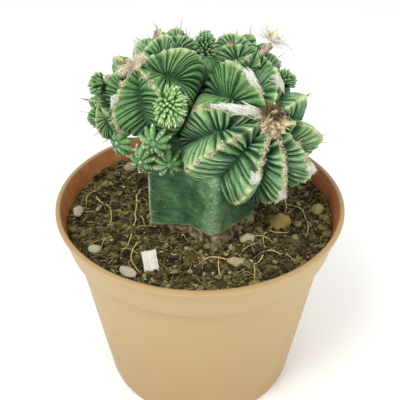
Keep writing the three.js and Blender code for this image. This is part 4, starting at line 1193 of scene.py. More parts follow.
offsetForm = {
    "ribs": 9, "from": 7, "to": 104, "pupGirth": 0.98, "upturn": 0.2, "young": 0.35, "core": 0.84,
    "steps": 10, "sides": 8, "dot": 0.26, "hairs": 3, "hairLength": 0.6, "hairWidth": 0.035,
    "ribDots": ((0, 0.13), (2, 0.14), (3, 0.16), (5, 0.19), (7, 0.23), (8, 0.26)),     # step on a rib, size
    "spiral": 2.39996,                      # radians between a bunch's tubercles: the golden angle
    # from a tubercle's root to its tip: the dark roots are painted shade in the gaps between the tubercles
    "root": "061c0c", "side": "23552a", "tip": "6b9a5c", "youngRoot": "28571f", "youngSide": "6d9f52",
    "youngTip": "b9d68c", "wool": "f2f5e8", "woolShade": "c9d6b4",
}


def pupPaths(rng, offset):                  # a star of ribs from near the axis to a little below the middle
    f = offsetForm
    count, share = f["ribs"], np.linspace(0, 1, f["steps"])
    turn = (np.arange(count) + rng.uniform(-0.18, 0.18, count)) / count * 2 * math.pi + rng.uniform(0, 6)
    tilt = np.radians(mix(f["from"], f["to"], share[None, :] ** 0.9) * rng.uniform(0.94, 1.06, (count, 1)))
    reach = offset["reach"] * rng.uniform(0.9, 1.02, (count, 1)) * (0.56 + 0.2 * share + 0.24 * share ** 5)
    flat = reach * np.sin(tilt)
    return np.stack([flat * np.cos(turn)[:, None], flat * np.sin(turn)[:, None], reach * np.cos(tilt)], -1)


def bunchPaths(rng, offset):                # tubercles spread evenly over the fan, their tips turned up
    count, body, reach = offset["count"], offset["body"], offset["reach"]
    stretch = np.array(offset.get("stretch", (1, 1, 1)))
    order = np.arange(count) + 0.5
    rise = 1 - (1 - math.cos(math.radians(offset["fan"]))) * order / count
    turn = order * offsetForm["spiral"] + rng.uniform(-0.2, 0.2, count)
    shares = rng.uniform(0.84, 1.06, count)
    flat = np.sqrt(np.clip(1 - rise ** 2, 0, None))
    outs = np.stack([flat * np.cos(turn), flat * np.sin(turn), rise], -1)
    start = outs * body * 0.55 * stretch
    end = outs * (reach * shares[:, None] + body * (stretch - 1))
    along = np.linspace(0, 1, offsetForm["steps"])
    paths = mix(start[:, None], end[:, None], along[None, :, None])
    paths[..., 2] += offsetForm["upturn"] * reach * along ** 2.5 * (1 - rise[:, None])
    return paths


def offsetShapes(offset, seed):
    f = offsetForm
    rng = np.random.default_rng(seed)
    middle, axis = (np.array(part, float) for part in offset["seat"])
    turns = axesOf(axis)
    step = np.linspace(0, 1, f["steps"])
    isPup = "count" not in offset
    if isPup:
        paths = pupPaths(rng, offset)
        swell = np.sin(math.pi * np.clip(step * 0.9 + 0.08, 0, 1) ** 1.25) ** 0.9
        plump = f["pupGirth"] * (0.25 + 0.75 * swell)
    else:
        paths = bunchPaths(rng, offset)
        plump = offset["girth"] * (0.45 + 0.6 * np.sin(math.pi * step ** 1.15))
        plump = plump * (1 - 0.62 * np.clip((step - 0.7) / 0.3, 0, 1) ** 1.6)       # drawn in to a tip
    world = middle + paths @ turns
    ball, ballFaces = icoPoints(4)
    body = middle + (ball * offset["body"] * f["core"] * np.array(offset.get("stretch", (1, 1, 1)))) @ turns
    widths = plump * rng.uniform(0.88, 1.1, (len(world), 1))
    ribs = strands(world, widths, f["sides"], reach=step[None, :, None])
    if isPup:
        away = np.linalg.norm(ribs["points"] - middle, axis=1)
        ribs["marks"]["reach"] = away / offset["reach"] * 1.35 - 0.35
    skin = joined([ribs, outward(shapeOf(body, ballFaces, reach=0.0))])
    tips = world[:, -1]
    leans = unit(world[:, -1] - world[:, -3])
    sizes = offset.get("dot", f["dot"]) * rng.uniform(0.6, 1.3, len(tips))
    if isPup:
        for place, size in f["ribDots"]:
            outer = 1 + plump[place] * 0.96 / np.linalg.norm(paths[0, place])
            spots = middle + (paths[:, place] * outer) @ turns
            tips = np.concatenate([tips, spots])
            leans = np.concatenate([leans, unit(spots - middle)])
            sizes = np.concatenate([sizes, size * rng.uniform(0.5, 1.4, len(spots))])
    dots = pebbles(rng, tips - leans * 0.05, sizes * 1.08, 1.0, 0.12, 1)
    count = len(tips) * f["hairs"]
    directions = unit(np.repeat(leans, f["hairs"], 0) + 0.9 * randomUnit(rng, count))
    lengths = f["hairLength"] * rng.uniform(0.5, 1.2, count)
    hairs = bentPaths(np.repeat(tips, f["hairs"], 0), directions, lengths, 0.35 * randomUnit(rng, count), 4)
    return skin, joined([dots, strands(hairs, f["hairWidth"] * taper(4))])


def offsetSkin(name, young):
    f = offsetForm
    material, tree, shader = newMaterial(name, 0.42, Specular_IOR_Level=0.45, Subsurface_Weight=0.12,
                                         Subsurface_Radius=(0.35, 0.8, 0.25), Subsurface_Scale=0.0008)
    patches = maskOf(tree, mottle, Size=1.2, Contrast=1.0)
    # painted shade: darker towards the tubercles' roots and on the body between them
    along = swayed(tree, mark(tree, "reach"), patches, 0.25)
    old = ramp(tree, along, [(0.25, f["root"]), (0.6, f["side"]), (0.95, f["tip"])])
    fresh = ramp(tree, along, [(0.2, f["youngRoot"]), (0.6, f["youngSide"]), (0.95, f["youngTip"])])
    plug(tree, shader.inputs["Roughness"], remap(tree, patches, 0.0, 1.0, 0.34, 0.52))
    grain = maskOf(tree, mottle, Size=0.4, Contrast=1.0)
    paint(tree, shader, blendColour(tree, young, old, fresh), grain, 0.35, 0.08)
    return material


def woolFinish(name, colour, shade, cover=1.0):     # cover: how far the hairs hide what is behind them
    material, tree, shader = newMaterial(name, 0.9, Specular_IOR_Level=0.15, Sheen_Weight=0.5,
                                         Sheen_Roughness=0.4, Subsurface_Weight=0.1,
                                         Subsurface_Radius=(0.6, 0.6, 0.5), Subsurface_Scale=0.0004)
    tufty = maskOf(tree, mottle, Size=0.9, Contrast=1.1)
    fine = maskOf(tree, mottle, Size=0.18, Contrast=1.2)
    share = calc(tree, "ADD", remap(tree, tufty, 0.35, 1.0, 0.0, 0.4), mark(tree, "shade"), clamp=True)
    paint(tree, shader, blendColour(tree, share, colour, shade), fine, 0.5, 0.1)
    if cover < 1:
        plug(tree, shader.inputs["Alpha"], remap(tree, fine, 0.2, 0.8, cover - 0.35, cover + 0.2))
    return material


dotMaterial = woolFinish("areole_wool", offsetForm["wool"], offsetForm["woolShade"])
for seed, offset in enumerate(offsets):
    skin, dots = offsetShapes(offset, seed + 80)
    material = offsetSkin(offset["name"] + "_skin", offset.get("young", offsetForm["young"]))
    makePiece(offset["name"] + "_tubercles", skin, material, [offset["name"]])
    makePiece(offset["name"] + "_dots", dots, dotMaterial)
print("stage: offsets made")

# Wool in locks that lie on the ribs: place along the rib, length and width in millimetres, how far it stands
# up, how far its ends stray, the number and length of its locks, and how far they are turned from the rib
wools = [
    {"name": "wool_stripe", "on": "head_right", "rib": 4, "along": 0.28, "size": (12.5, 3.4), "rise": 0.9,
     "loose": 0.22, "locks": 32, "lock": 5.6, "taper": 0.6, "aside": 0.4},
    {"name": "wool_a", "on": "head_right", "rib": 3, "along": 0.33, "size": (4.4, 2.6), "rise": 1.2,
     "loose": 0.2, "locks": 17, "lock": 4.6},
    {"name": "wool_b", "on": "head_right", "rib": 2, "along": 0.34, "size": (2.6, 2.2), "rise": 1.1,
     "loose": 0.2, "locks": 14, "lock": 4.8, "turn": 50},
    {"name": "wool_c", "on": "head_right", "rib": 6, "along": 0.465, "size": (2.2, 2.0), "rise": 1.1,
     "loose": 0.9, "locks": 18, "lock": 2.4},
    {"name": "wool_d", "on": "head_right", "rib": 8, "along": 0.54, "size": (2.2, 2.0), "rise": 1.2,
     "loose": 1.1, "locks": 18, "lock": 2.8},
    {"name": "wool_e", "on": "head_right", "rib": 7, "along": 0.62, "size": (2.0, 1.8), "rise": 1.1,
     "loose": 1.0, "locks": 16, "lock": 2.6},
    {"name": "wool_f", "on": "head_left", "rib": 5, "along": 0.43, "size": (1.8, 1.6), "rise": 1.0,
     "loose": 0.8, "locks": 15, "lock": 2.4},
]
woolForm = {
    "hairs": 18, "width": 0.055, "lockWidth": 0.6, "steps": 6, "strays": 0.3, "wander": 0.035, "drape": 0.13,
    "pad": (0.25, 0.35),                    # the felt under the hairs: shares of the tuft's width and height
    "cover": 0.85, "white": "fffef8", "shade": "cbd1b4",
}


def crestFrame(head, rib, along):           # a place on a rib's crest, the way out, and the way sideways
    here = hollowPoint(head, rib, -1, along)
    out = unit(here)
    down = hollowPoint(head, rib, -1, np.asarray(along) + 1e-3) - here
    return here, out, unit(np.cross(out, unit(down)))


def tuftWidth(wool, place):                 # narrow at both ends, and may be thinner away from the apex
    return np.sqrt(1 - 0.85 * place ** 2) * (1 - wool.get("taper", 0) * (place + 1) / 2)


def woolPad(head, wool, perAlong):          # the felt under the hairs
    length, width = wool["size"]
    wide, high = woolForm["pad"]
    s, t = np.meshgrid(np.linspace(-1, 1, 17), np.linspace(-1, 1, 13), indexing="ij")
    here, out, sideways = crestFrame(head, wool["rib"], wool["along"] + s * length * 0.45 / perAlong)
    aside = t * tuftWidth(wool, s) * width * wide - wool.get("aside", 0) * (1 - s) / 2
    hump = np.sqrt(np.clip(1 - s ** 2, 0, 1)) * np.sqrt(np.clip(1 - t ** 2, 0, 1)) * wool["rise"] * high
    top = here + out * (hump + 0.1 - woolForm["drape"] * aside ** 2)[..., None] + sideways * aside[..., None]
    under = here - out * 0.5 + sideways * 0.6 * aside[..., None]
    return padShape(headWorld(head, top), headWorld(head, under), shade=0.2)


def woolShape(wool, seed):
    f = woolForm
    rng = np.random.default_rng(seed)
    head = headNamed(wool["on"])
    length, width = wool["size"]
    perAlong = math.radians(headForm["rimAngle"]) * head["radius"]      # millimetres along the rib
    locks, each = wool["locks"], f["hairs"]
    count = locks * each

    def perLock(values):
        return np.repeat(values, each)[:, None]

    u, v = rng.uniform(-1, 1, locks), np.clip(rng.normal(0, 0.5, locks), -1, 1)
    thick = tuftWidth(wool, u)
    heading = perLock(rng.normal(math.radians(wool.get("turn", 0)), 0.12 + 1.1 * wool["loose"] ** 2, locks))
    bend = perLock(rng.normal(0, 0.25, locks))
    lift = perLock(rng.uniform(0.1, 1, locks))
    share = np.linspace(0, 1, f["steps"])[None, :]
    long = wool["lock"] * perLock(rng.uniform(0.7, 1.2, locks)) * rng.uniform(0.6, 1.05, (count, 1))
    beside, over = rng.normal(0, 0.45, (count, 1)), rng.uniform(0, 1, (count, 1))
    run = (share - 0.45) * long
    turn = heading + bend * share
    along = wool["along"] + (perLock(u) * length / 2 + run * np.cos(turn)) / perAlong
    spread = beside * f["lockWidth"] * (1 - 0.75 * share ** 1.5)
    aside = perLock(v * thick) * width / 2 + run * np.sin(turn) + spread
    aside = aside - wool.get("aside", 0) * (1 - perLock(u)) / 2
    rise = wool["rise"] * perLock(thick) * mix(0.25, lift, 0.7) + over * 0.3
    rise = rise * np.sin(math.pi * mix(0.12, 0.93, share)) + wool["loose"] * long * lift * 0.5 * share ** 1.4
    here, out, sideways = crestFrame(head, wool["rib"], np.clip(along, 0.02, 0.98))
    height = rise + 0.25 - f["drape"] * np.minimum(aside ** 2, 6)
    stray = np.where(rng.uniform(size=(count, 1, 1)) < f["strays"], 4, 1)
    wander = f["wander"] * rng.normal(size=(count, f["steps"], 3)).cumsum(1) * (0.5 + wool["loose"]) * stray
    hairs = headWorld(head, here + out * height[..., None] + sideways * aside[..., None]) + wander
    shades = perLock(rng.uniform(0, 0.5, locks)) * (1 - 0.6 * lift) + rng.uniform(-0.1, 0.35, (count, 1))
    facing = unit(hairs - head["centre"]) + 0.25 * randomUnit(rng, count)[:, None]
    widths = f["width"] * rng.uniform(0.6, 1.4, (count, 1)) * taper(f["steps"], 1, 0.25)
    return joined([strands(hairs, widths, 3, facing, shade=shades[:, 0]), woolPad(head, wool, perAlong)])


def padShape(over, under, **marks):         # closes a sheet with the sheet under it
    rows, columns = over.shape[:2]
    marks = {
        name: np.tile(np.broadcast_to(value, (rows, columns)).ravel(), 2) for name, value in marks.items()
    }
    top, bottom = gridFaces(rows, columns), gridFaces(rows, columns)[:, ::-1] + rows * columns
    edge = [(i, 0) for i in range(rows)] + [(rows - 1, j) for j in range(1, columns)]
    edge += [(i, columns - 1) for i in range(rows - 2, -1, -1)] + [(0, j) for j in range(columns - 2, 0, -1)]
    ring = np.array([i * columns + j for i, j in edge])
    after = np.roll(ring, -1)
    lower, lowerAfter = ring + rows * columns, after + rows * columns
    wall = np.concatenate([np.stack([ring, lower, lowerAfter], -1), np.stack([ring, lowerAfter, after], -1)])
    points = np.concatenate([over.reshape(-1, 3), under.reshape(-1, 3)])
    return outward(shapeOf(points, np.concatenate([top, bottom, wall]), **marks))


woolMaterial = woolFinish("white_wool", woolForm["white"], woolForm["shade"], woolForm["cover"])
for seed, wool in enumerate(wools):
    shape = woolShape(wool, seed + 120)
    makePiece(wool["name"] + "_hair", shape, woolMaterial, [wool["name"]], flat=True)
print("stage: wool made")

# Areoles along the ribs, packed into chains and clusters on the older ribs, and the outer heads' dark spines
areoles = {
    "first": 2, "size": 0.2, "hairs": 7, "hairLength": 0.95, "hairWidth": 0.06,
    "chains": {"head_right": {6: (0.06, 0.52), 7: (0.06, 0.6)}}, "chainGap": 0.0065, "packedSize": 0.22,
    "clusters": {
        "head_right": {5: (0.325, 0.43, 0.53, 0.64, 0.8), 8: (0.3, 0.42), 4: (0.47, 0.56), 3: (0.2, 0.5)},
        "head_left": {4: (0.35, 0.5, 0.7), 5: (0.25, 0.62, 0.78), 6: (0.2, 0.3)},
        "head_top_left": {4: (0.3, 0.5), 5: (0.35, 0.6)}, "head_top_right": {4: (0.4, 0.7), 5: (0.3, 0.55)},
    },
    "inCluster": 11, "stray": 0.42,         # areoles in a cluster, and how far they lie from its middle
    "spined": {"head_far_left": 0.9, "head_top_left": 0.5, "head_top_right": 0.45, "head_left": 0.25,
               "head_right": 0.2, "head_back_left": 0.6, "head_back_right": 0.6},
    "spinesFrom": 0.3, "spineLength": 2.4, "spineWidth": 0.11,
    "old": "b3a777", "tan": "ddd4ac", "pink": "e5cdb4", "white": "f1f4e6",
}


def areoleSpots(head):                      # rib, place along it, size, age and stray of each areole
    a = areoles
    rng = np.random.default_rng(head["seed"] + 500)
    spots = []
    for rib in range(len(head["ribs"])):
        start, end = a["chains"].get(head["name"], {}).get(rib, (0, 0))
        packed = list(np.arange(start, end, a["chainGap"])) if end else []
        for middle in a["clusters"].get(head["name"], {}).get(rib, ()):
            packed += list(middle + rng.normal(0, a["stray"] / 40, a["inCluster"]))
        for along in packed:
            size, age = a["packedSize"] * rng.uniform(0.5, 1.4), rng.uniform(0, 0.8)
            spots.append((rib, along, size, age, a["stray"]))
        for pleat in range(a["first"], head["pleats"]):
            along = (pleat + 0.5) / head["pleats"]
            if along > end and rng.uniform() < 0.8:
                spots.append((rib, along, a["size"] * rng.uniform(0.6, 1.2), rng.uniform(0.2, 0.85), 0.0))
    return spots


def areoleShapes():
    a = areoles
    rng = np.random.default_rng(900)
    tufts, thorns = [], []
    for head in heads:
        for rib, along, size, age, stray in areoleSpots(head):
            spot, out, sideways = crestFrame(head, rib, along)
            aside = stray * rng.normal()
            spot = spot + sideways * aside + out * (0.3 - 0.3 * min(aside ** 2, 1))
            place = pressed(head, headWorld(head, spot[None]))[0]
            if hasRoom(head, place, 0.7):
                tufts.append((place, out @ axesOf(head["axis"]), size, age))
                if rng.uniform() < a["spined"][head["name"]] * (along > a["spinesFrom"]):
                    thorns.append((place, out @ axesOf(head["axis"]), unit(head["axis"])))
    places, outs, sizes, ages = (np.array(values) for values in zip(*tufts))
    lumps = pebbles(rng, places, sizes * 0.95, 1.0, 0.3, 1, shade=ages)
    count, each = len(tufts) * a["hairs"], a["hairs"]
    lengths = a["hairLength"] * rng.uniform(0.4, 1.2, count) * np.repeat(sizes / a["size"], each) ** 0.5
    directions = unit(np.repeat(outs, each, 0) + 1.1 * randomUnit(rng, count))
    paths = bentPaths(np.repeat(places, each, 0), directions, lengths, 0.4 * randomUnit(rng, count), 3)
    hairs = strands(paths, a["hairWidth"] * taper(3), 3, shade=np.repeat(ages, each))
    roots, outs, ups = (np.array(values) for values in zip(*thorns))
    leans = unit(outs + 0.35 * ups + 0.3 * randomUnit(rng, len(roots)))
    lengths = a["spineLength"] * rng.uniform(0.55, 1.15, len(roots))
    paths = bentPaths(roots, leans, lengths, 0.45 * ups + 0.15 * randomUnit(rng, len(roots)), 7)
    return joined([lumps, hairs]), strands(paths, a["spineWidth"] * taper(7, 1, 0.12), 5)


areoleStops = [(0.05, areoles["old"]), (0.3, areoles["tan"]), (0.6, areoles["pink"]), (0.9, areoles["white"])]
areoleFelt = shadedFinish("areole_felt", 0.9, (0.3, 1.2), 0.4, areoleStops, 0.5, 0.08,
                          Specular_IOR_Level=0.2, Sheen_Weight=0.3)
areoleTufts, headThorns = areoleShapes()
makePiece("rib_areoles", areoleTufts, areoleFelt)
makePiece("rib_spines", headThorns, hornMaterial)
print("stage: areoles made")


# Petals, fresh or dried: a thin closed sheet that curls along its length and cups across it
def petalShape(rng, root, direction, face, length, width, curl, cup, crumple, thick, blunt=0.8):
    direction = unit(direction)
    side = unit(np.cross(direction, face))
    face = np.cross(side, direction)
    steps = 15
    s, t = np.linspace(0, 1, steps), np.linspace(-1, 1, 7)
    angle = curl * s ** 1.3
    stride = (np.cos(angle)[:, None] * direction + np.sin(angle)[:, None] * face) * length / (steps - 1)
    spine = root + np.cumsum(stride, 0) - stride[0]
    up = -np.sin(angle)[:, None] * direction + np.cos(angle)[:, None] * face
    half = width / 2 * np.clip(np.sin(math.pi * np.clip(s * 0.93 + 0.06, 0, 1)), 0.02, 1) ** blunt
    over = spine[:, None] + side * t[None, :, None] * half[:, None, None]
    over = over + up[:, None] * (cup * t[None, :] ** 2 * half[:, None])[..., None]
    waves = crumple * np.stack([smoothNoise(over, 1.1, rng.uniform(0, 50) + i) for i in range(3)], -1)
    over = over + waves * smoothStep(s * 3)[:, None, None]
    under = over - up[:, None] * thick
    return padShape(over, under, along=s[:, None], aside=np.abs(t)[None, :], tone=rng.uniform())


def curlyPaths(rng, roots, directions, lengths, steps, curl):           # strands that wander as they grow
    sway = rng.normal(0, curl, (len(roots), steps, 3)).cumsum(1)
    stride = unit(directions[:, None] + sway) * np.reshape(lengths, (-1, 1, 1)) / steps
    return roots[:, None] + np.cumsum(stride, 1) - stride


# Dried flowers: curled brown threads, crumpled petals and cream wool round a seat. Sweep is how far the wool
# runs behind the seat and down from it, and slim how close it keeps to that line.
drieds = [
    {"name": "dried_flower_right", "seat": seatOn("head_right", 0, 0, 0, 0.8), "core": 2.6, "curl": 0.75,
     "threads": 420, "threadLean": (0.1, -0.35, 0.7), "threadSize": 5.4, "threadAt": (0, -0.8, 0.4),
     "petals": 34, "petalLean": (-0.1, -0.75, -0.35), "petalSize": 6.2, "petalWidth": 1.7,
     "wool": 950, "woolSize": 5.6, "brown": 0.35, "sweep": (-0.5, 0.5), "slim": 1},
    {"name": "dried_flower_left", "seat": seatOn("head_left", 0, 0, 0, 0.8), "core": 2.4, "curl": 0.3,
     "threads": 22, "threadLean": (-0.8, -0.2, -0.1), "threadSize": 4.4, "threadAt": (-1.2, -0.4, 0),
     "petals": 5, "petalLean": (-0.8, -0.35, -0.45), "petalSize": 4.4, "petalWidth": 1.2,
     "wool": 950, "woolSize": 3.8, "brown": 0.9, "sweep": (-3.8, 3.2), "slim": 0.75},
    {"name": "dried_flower_top", "seat": seatOn("head_top_left", 0, 0, 0, 0.8), "core": 1.2, "curl": 0.3,
     "threads": 16, "threadLean": (0.1, -0.1, 1), "threadSize": 2.6, "threadAt": (0, 0, 0),
     "petals": 6, "petalLean": (0.1, -0.1, 1), "petalSize": 2.6, "petalWidth": 1.1,
     "wool": 150, "woolSize": 2.2, "brown": 0.9, "sweep": (-0.5, 0.5), "slim": 1},
]
driedColours = {
    "thread": "3d2c19", "threadPale": "a98b5c", "petal": "c9b37c", "petalPale": "ece3c6",
    "petalEdge": "a4855a", "wool": "fbf5e4", "woolShade": "cfba97",
}


def driedThreads(rng, dried, middle):
    count = dried["threads"]
    around = randomUnit(rng, count) * dried["core"] * 0.5
    lean = unit(np.array(dried["threadLean"]) + 0.55 * randomUnit(rng, count))
    lengths = dried["threadSize"] * rng.uniform(0.5, 1.1, count)
    paths = curlyPaths(rng, middle + np.array(dried["threadAt"]) + around, lean, lengths, 10, dried["curl"])
    widths = rng.uniform(0.07, 0.13, (count, 1)) * taper(10, 1, 0.5)
    return strands(paths, widths, 3, shade=rng.uniform(0, dried["brown"] + 0.35, count))


def driedPetals(rng, dried, middle, axis):
    petals = []
    for _ in range(dried["petals"]):
        lean = unit(np.array(dried["petalLean"]) + 0.75 * randomUnit(rng, 1)[0])
        root = middle + lean * dried["core"] * 0.3 + 0.35 * dried["core"] * randomUnit(rng, 1)[0]
        long = dried["petalSize"] * rng.uniform(0.6, 1.05)
        wide = dried["petalWidth"] * rng.uniform(0.5, 1.15)
        face = unit(axis + 0.4 * randomUnit(rng, 1)[0])
        curl, cup = rng.uniform(-0.9, 0.7), rng.uniform(-0.5, 0.9)
        petals.append(petalShape(rng, root, lean, face, long, wide, curl, cup, 0.42, 0.08, 0.5))
    return joined(petals)


def driedWool(rng, dried, middle, axis, seed):          # hairs round a lump, laid the way the petals lean
    core, count = dried["core"], dried["wool"]
    down = unit(dried["petalLean"])
    around = unit(randomUnit(rng, count) + axis * 0.25 + 0.5 * down)
    swept = rng.uniform(*dried["sweep"], (count, 1))
    roots = middle + around * core * dried["slim"] * rng.uniform(0.1, 0.62, (count, 1)) + down * swept
    lean = unit(0.5 * around + 0.9 * down + 0.2 * axis + 0.7 * randomUnit(rng, count))
    lengths = dried["woolSize"] * rng.uniform(0.3, 1.0, count)
    hairs = curlyPaths(rng, roots, lean, lengths, 6, 0.22)
    facing = unit(hairs - middle + axis * core) + 0.3 * randomUnit(rng, count)[:, None]
    ball, faces = icoPoints(4)
    lump = middle + ball * (core * (0.6 + 0.14 * roughNoise(ball, 0.7, seed)))[:, None] - axis * core * 0.4
    widths = rng.uniform(0.035, 0.09, (count, 1)) * taper(6, 1, 0.4)
    locks = strands(hairs, widths, 3, facing, shade=rng.uniform(-0.1, 0.9, count))
    return joined([locks, outward(shapeOf(lump, faces, shade=0.5))])


def dryPetalPaper():
    d = driedColours
    material, tree, shader = newMaterial("dry_petal", 0.7, Specular_IOR_Level=0.3, Subsurface_Weight=0.2,
                                         Subsurface_Radius=(0.9, 0.6, 0.3), Subsurface_Scale=0.0006)
    lines = maskOf(tree, streaks, Size=0.5, Level=1.0, Upright=0.5, Cut=0.45)
    patches = maskOf(tree, mottle, Size=1.0, Contrast=1.3)
    colour = blendColour(tree, patches, d["petal"], d["petalPale"])
    colour = coated(tree, colour, d["petalEdge"], lines, 0.3)
    colour = blendColour(tree, remap(tree, mark(tree, "along"), 0.6, 1.0, 0.0, 0.45), colour, d["petalEdge"])
    paint(tree, shader, colour, calc(tree, "ADD", lines, patches), 0.4, 0.1)
    return material


threadStops = [(0.1, driedColours["thread"]), (0.9, driedColours["threadPale"])]
dryThread = shadedFinish("dry_thread", 0.75, (0.5, 1.0), 0.3, threadStops, 0.3, 0.04, Specular_IOR_Level=0.3)
dryPaper = dryPetalPaper()
creamWool = woolFinish("cream_wool", driedColours["wool"], driedColours["woolShade"])
for seed, dried in enumerate(drieds):
    rng = np.random.default_rng(seed + 200)
    middle, axis = (np.array(part, float) for part in dried["seat"])
    threads = driedThreads(rng, dried, middle)
    petals = driedPetals(rng, dried, middle, axis)
    wool = driedWool(rng, dried, middle, axis, seed + 200)
    makePiece(dried["name"] + "_wool", wool, creamWool, [dried["name"]], flat=True)
    makePiece(dried["name"] + "_petals", petals, dryPaper)
    makePiece(dried["name"] + "_threads", threads, dryThread)
print("stage: dried flowers made")

# Flower on the upper right head: a funnel, two rounds of narrow petals, and stamens
flower = {
    "seat": seatOn("head_top_right", 7, 0, 0.12, -0.4), "axis": (0.52, -0.1, 0.85),
    "tube": 7, "foot": 0.85, "mouth": 1.55, "sink": 1.0,
    "rows": 14, "sides": 36, "folds": 9,    # of the funnel
    "rounds": [(9, 68, 6.6, 2.3), (8, 44, 6.0, 2.1), (5, 24, 4.4, 1.4)],      # petals, tilt, length, width
    "sepals": 9, "stamens": 70, "anther": 0.2, "heart": 1.9,
    # the grey down each petal's middle and in soft patches is painted shade
    "white": "e4e4dc", "vein": "b3b6a6", "pink": "dcb9a4", "tubePink": "cfa592", "green": "a9b98c",
    "sepal": "b77f66", "yellow": "ecd23c", "deep": "dcb02a", "filament": "ece49c",
}
flowerFoot = np.array(flower["seat"][0])
flowerUp = unit(flower["axis"])
flowerAxes = axesOf(flowerUp)


def flowerFlat(turn):                       # a level direction round the flower's own axis
    return np.array([math.cos(turn), math.sin(turn), 0]) @ flowerAxes


def funnelReach(share):                     # the funnel's radius from its foot to its mouth
    return mix(flower["foot"], flower["mouth"], share ** 1.7)


def funnelShape():
    f = flower
    s = np.linspace(0, 1, f["rows"])
    turn = ringTurns(f["sides"])
    reach = funnelReach(s)[:, None] * (1 + 0.07 * np.cos(f["folds"] * turn))
    height = np.broadcast_to((-f["sink"] + s * (f["tube"] + f["sink"]))[:, None], reach.shape)
    walls = np.stack([reach * np.cos(turn), reach * np.sin(turn), height], -1)
    inside = walls[::-1] * [0.8, 0.8, 1]
    inside[-1] = [0, 0, -f["sink"] + 0.4]
    bottom = np.broadcast_to([[0.0, 0.0, -f["sink"]]], (1, f["sides"], 3))
    grid = np.concatenate([bottom, walls, inside])
    along = np.repeat(np.concatenate([[0], s, s[::-1]]), f["sides"])
    tube = outward(shapeOf(grid @ flowerAxes, gridFaces(len(grid), f["sides"], True), along=along))
    tube["points"] = tube["points"] + flowerFoot
    return tube


def flowerPetals(rng):
    petals = []
    throat = flowerFoot + flowerUp * (flower["tube"] - 0.5)
    for count, tilt, length, width in flower["rounds"]:
        for i in range(count):
            lean = math.radians(tilt + rng.uniform(-9, 9))
            flat = flowerFlat((i + 0.4 * rng.uniform() + tilt / 90) / count * 2 * math.pi)
            out = flat * math.sin(lean) + flowerUp * math.cos(lean)
            long, wide = length * rng.uniform(0.75, 1.08), width * rng.uniform(0.75, 1.15)
            root = throat + flat * 1.1 * tilt / 70
            curl = rng.uniform(-0.8, 0.35)
            petals.append(petalShape(rng, root, out, flowerUp, long, wide, curl, 0.3, 0.22, 0.06, 0.6))
    return joined(petals)


def flowerSepals(rng):                      # scales in a spiral up the funnel
    sepals = []
    for i in range(flower["sepals"]):
        flat = flowerFlat(i / flower["sepals"] * 2 * math.pi * 2.4)
        level = rng.uniform(0.35, 0.95)
        root = flowerFoot + flowerUp * (flower["tube"] * level - 0.3) + flat * funnelReach(level) * 0.95
        long = rng.uniform(1.3, 2.4)
        sepals.append(petalShape(rng, root, flowerUp + flat * 0.35, flat, long, 0.7, -0.3, 0.4, 0.04, 0.09))
    return joined(sepals)


def flowerStamens(rng):
    f = flower
    count = f["stamens"]
    roots = flowerFoot + flowerUp * (f["tube"] - 1.6) + (rng.normal(0, 0.25, (count, 2)) @ flowerAxes[:2])
    spread = rng.uniform(0, 0.52, (count, 1)) ** 0.8
    ring = rng.uniform(0, 2 * math.pi, count)
    lean = unit(flowerUp + spread * (np.stack([np.cos(ring), np.sin(ring)], -1) @ flowerAxes[:2]))
    lengths = f["heart"] + 1.3 + rng.uniform(-0.5, 0.4, count)
    paths = bentPaths(roots, lean, lengths, 0.12 * randomUnit(rng, count), 6)
    filaments = strands(paths, 0.05 * taper(6, 1, 0.7), 4, anther=0.0)
    anthers = pebbles(rng, paths[:, -1], f["anther"] * rng.uniform(0.8, 1.3, count), 1.0, 0.12, 2, anther=1.0)
    return joined([filaments, anthers])


def whitePetal():
    f = flower
    material, tree, shader = newMaterial("white_petal", 0.45, Specular_IOR_Level=0.4, Sheen_Weight=0.2,
                                         Subsurface_Weight=0.35, Subsurface_Radius=(0.8, 0.8, 0.8),
                                         Subsurface_Scale=0.0005)
    patches = maskOf(tree, mottle, Size=1.2, Contrast=0.8)
    colour = ramp(tree, mark(tree, "along"), [(0.0, f["pink"]), (0.22, f["white"]), (1.0, f["white"])])
    # painted shade: greyer down the middle of each petal
    colour = blendColour(tree, remap(tree, mark(tree, "aside"), 0.0, 0.35, 0.4, 0.0), colour, f["vein"])
    paint(tree, shader, coated(tree, colour, f["vein"], patches, 0.12), patches, 0.2, 0.05)
    return material


def funnelSkin():
    f = flower
    material, tree, shader = newMaterial("flower_tube", 0.5, Specular_IOR_Level=0.4, Subsurface_Weight=0.2,
                                         Subsurface_Radius=(0.8, 0.6, 0.5), Subsurface_Scale=0.0005)
    patches = maskOf(tree, mottle, Size=1.0, Contrast=1.0)
    colour = ramp(tree, mark(tree, "along"), [(0.0, f["green"]), (0.4, f["tubePink"]), (1.0, f["white"])])
    paint(tree, shader, coated(tree, colour, f["pink"], patches, 0.3), patches, 0.2, 0.05)
    return material


def sepalFinish():
    material, tree, shader = newMaterial("flower_sepal", 0.6)
    patches = maskOf(tree, mottle, Size=0.6, Contrast=1.2)
    paint(tree, shader, blendColour(tree, patches, flower["sepal"], flower["pink"]), patches, 0.3, 0.05)
    return material


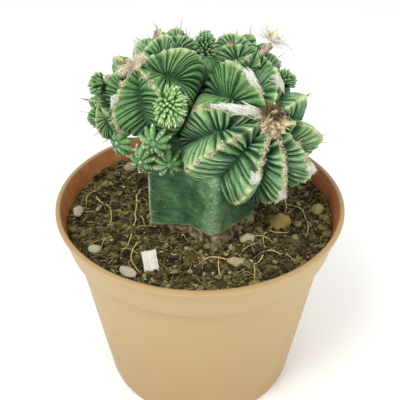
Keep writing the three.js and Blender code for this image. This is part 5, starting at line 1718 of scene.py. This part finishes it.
def pollen():
    f = flower
    material, tree, shader = newMaterial("pollen_and_filaments", 0.7, Subsurface_Weight=0.15,
                                         Subsurface_Radius=(0.8, 0.6, 0.2), Subsurface_Scale=0.0004)
    patches = maskOf(tree, mottle, Size=0.25, Contrast=1.0)
    yellow = blendColour(tree, patches, f["yellow"], f["deep"])
    paint(tree, shader, blendColour(tree, mark(tree, "anther"), f["filament"], yellow), patches, 0.5, 0.06)
    return material


flowerChance = np.random.default_rng(321)
makePiece("flower_tube", funnelShape(), funnelSkin(), ["flower"], weld=0.004)
makePiece("flower_petals", flowerPetals(flowerChance), whitePetal())
makePiece("flower_sepals", flowerSepals(flowerChance), sepalFinish())
makePiece("flower_stamens", flowerStamens(flowerChance), pollen(), ["flower_eye"])
print("stage: flower made")

# Floor, light and backdrop
studio = {
    "floor": "f5f5f4", "floorCloud": "f6f6f5", "floorReach": 1500, "sky": "ffffff", "skyStrength": 0.93,
    "key": {"at": (-150, -200, 430), "size": 190, "power": 1.3},
    "fill": {"at": (260, -120, 240), "size": 260, "power": 0.28},
    "target": (0, 0, 85),
}


def makeStudio():
    reach = studio["floorReach"] * mm
    mesh = bpy.data.meshes.new("floor")
    corners = [(-reach, -reach, 0), (reach, -reach, 0), (reach, reach, 0), (-reach, reach, 0)]
    mesh.from_pydata(corners, [], [(0, 1, 2, 3)])
    material, tree, shader = newMaterial("pale_floor", 0.9)
    cloudy = maskOf(tree, mottle, Size=60.0, Contrast=0.3)
    plug(tree, shader.inputs["Base Color"], blendColour(tree, cloudy, studio["floor"], studio["floorCloud"]))
    mesh.materials.append(material)
    floor = bpy.data.objects.new("floor", mesh)
    scene.collection.objects.link(floor)
    world = bpy.data.worlds.new("studio")
    scene.world = world
    world.use_nodes = True
    sky = world.node_tree.nodes["Background"]
    sky.inputs["Color"].default_value = hexColour(studio["sky"])
    sky.inputs["Strength"].default_value = studio["skyStrength"]
    for name in ("key", "fill"):
        lamp = studio[name]
        light = bpy.data.lights.new(name, "AREA")
        light.size = lamp["size"] * mm
        light.energy = lamp["power"]
        obj = bpy.data.objects.new(name, light)
        scene.collection.objects.link(obj)
        obj.location = Vector(lamp["at"]) * mm
        aim = Vector(studio["target"]) * mm - obj.location
        obj.rotation_euler = aim.to_track_quat("-Z", "Y").to_euler()
    scene.view_settings.view_transform = "Standard"


makeStudio()
print("stage: studio made")
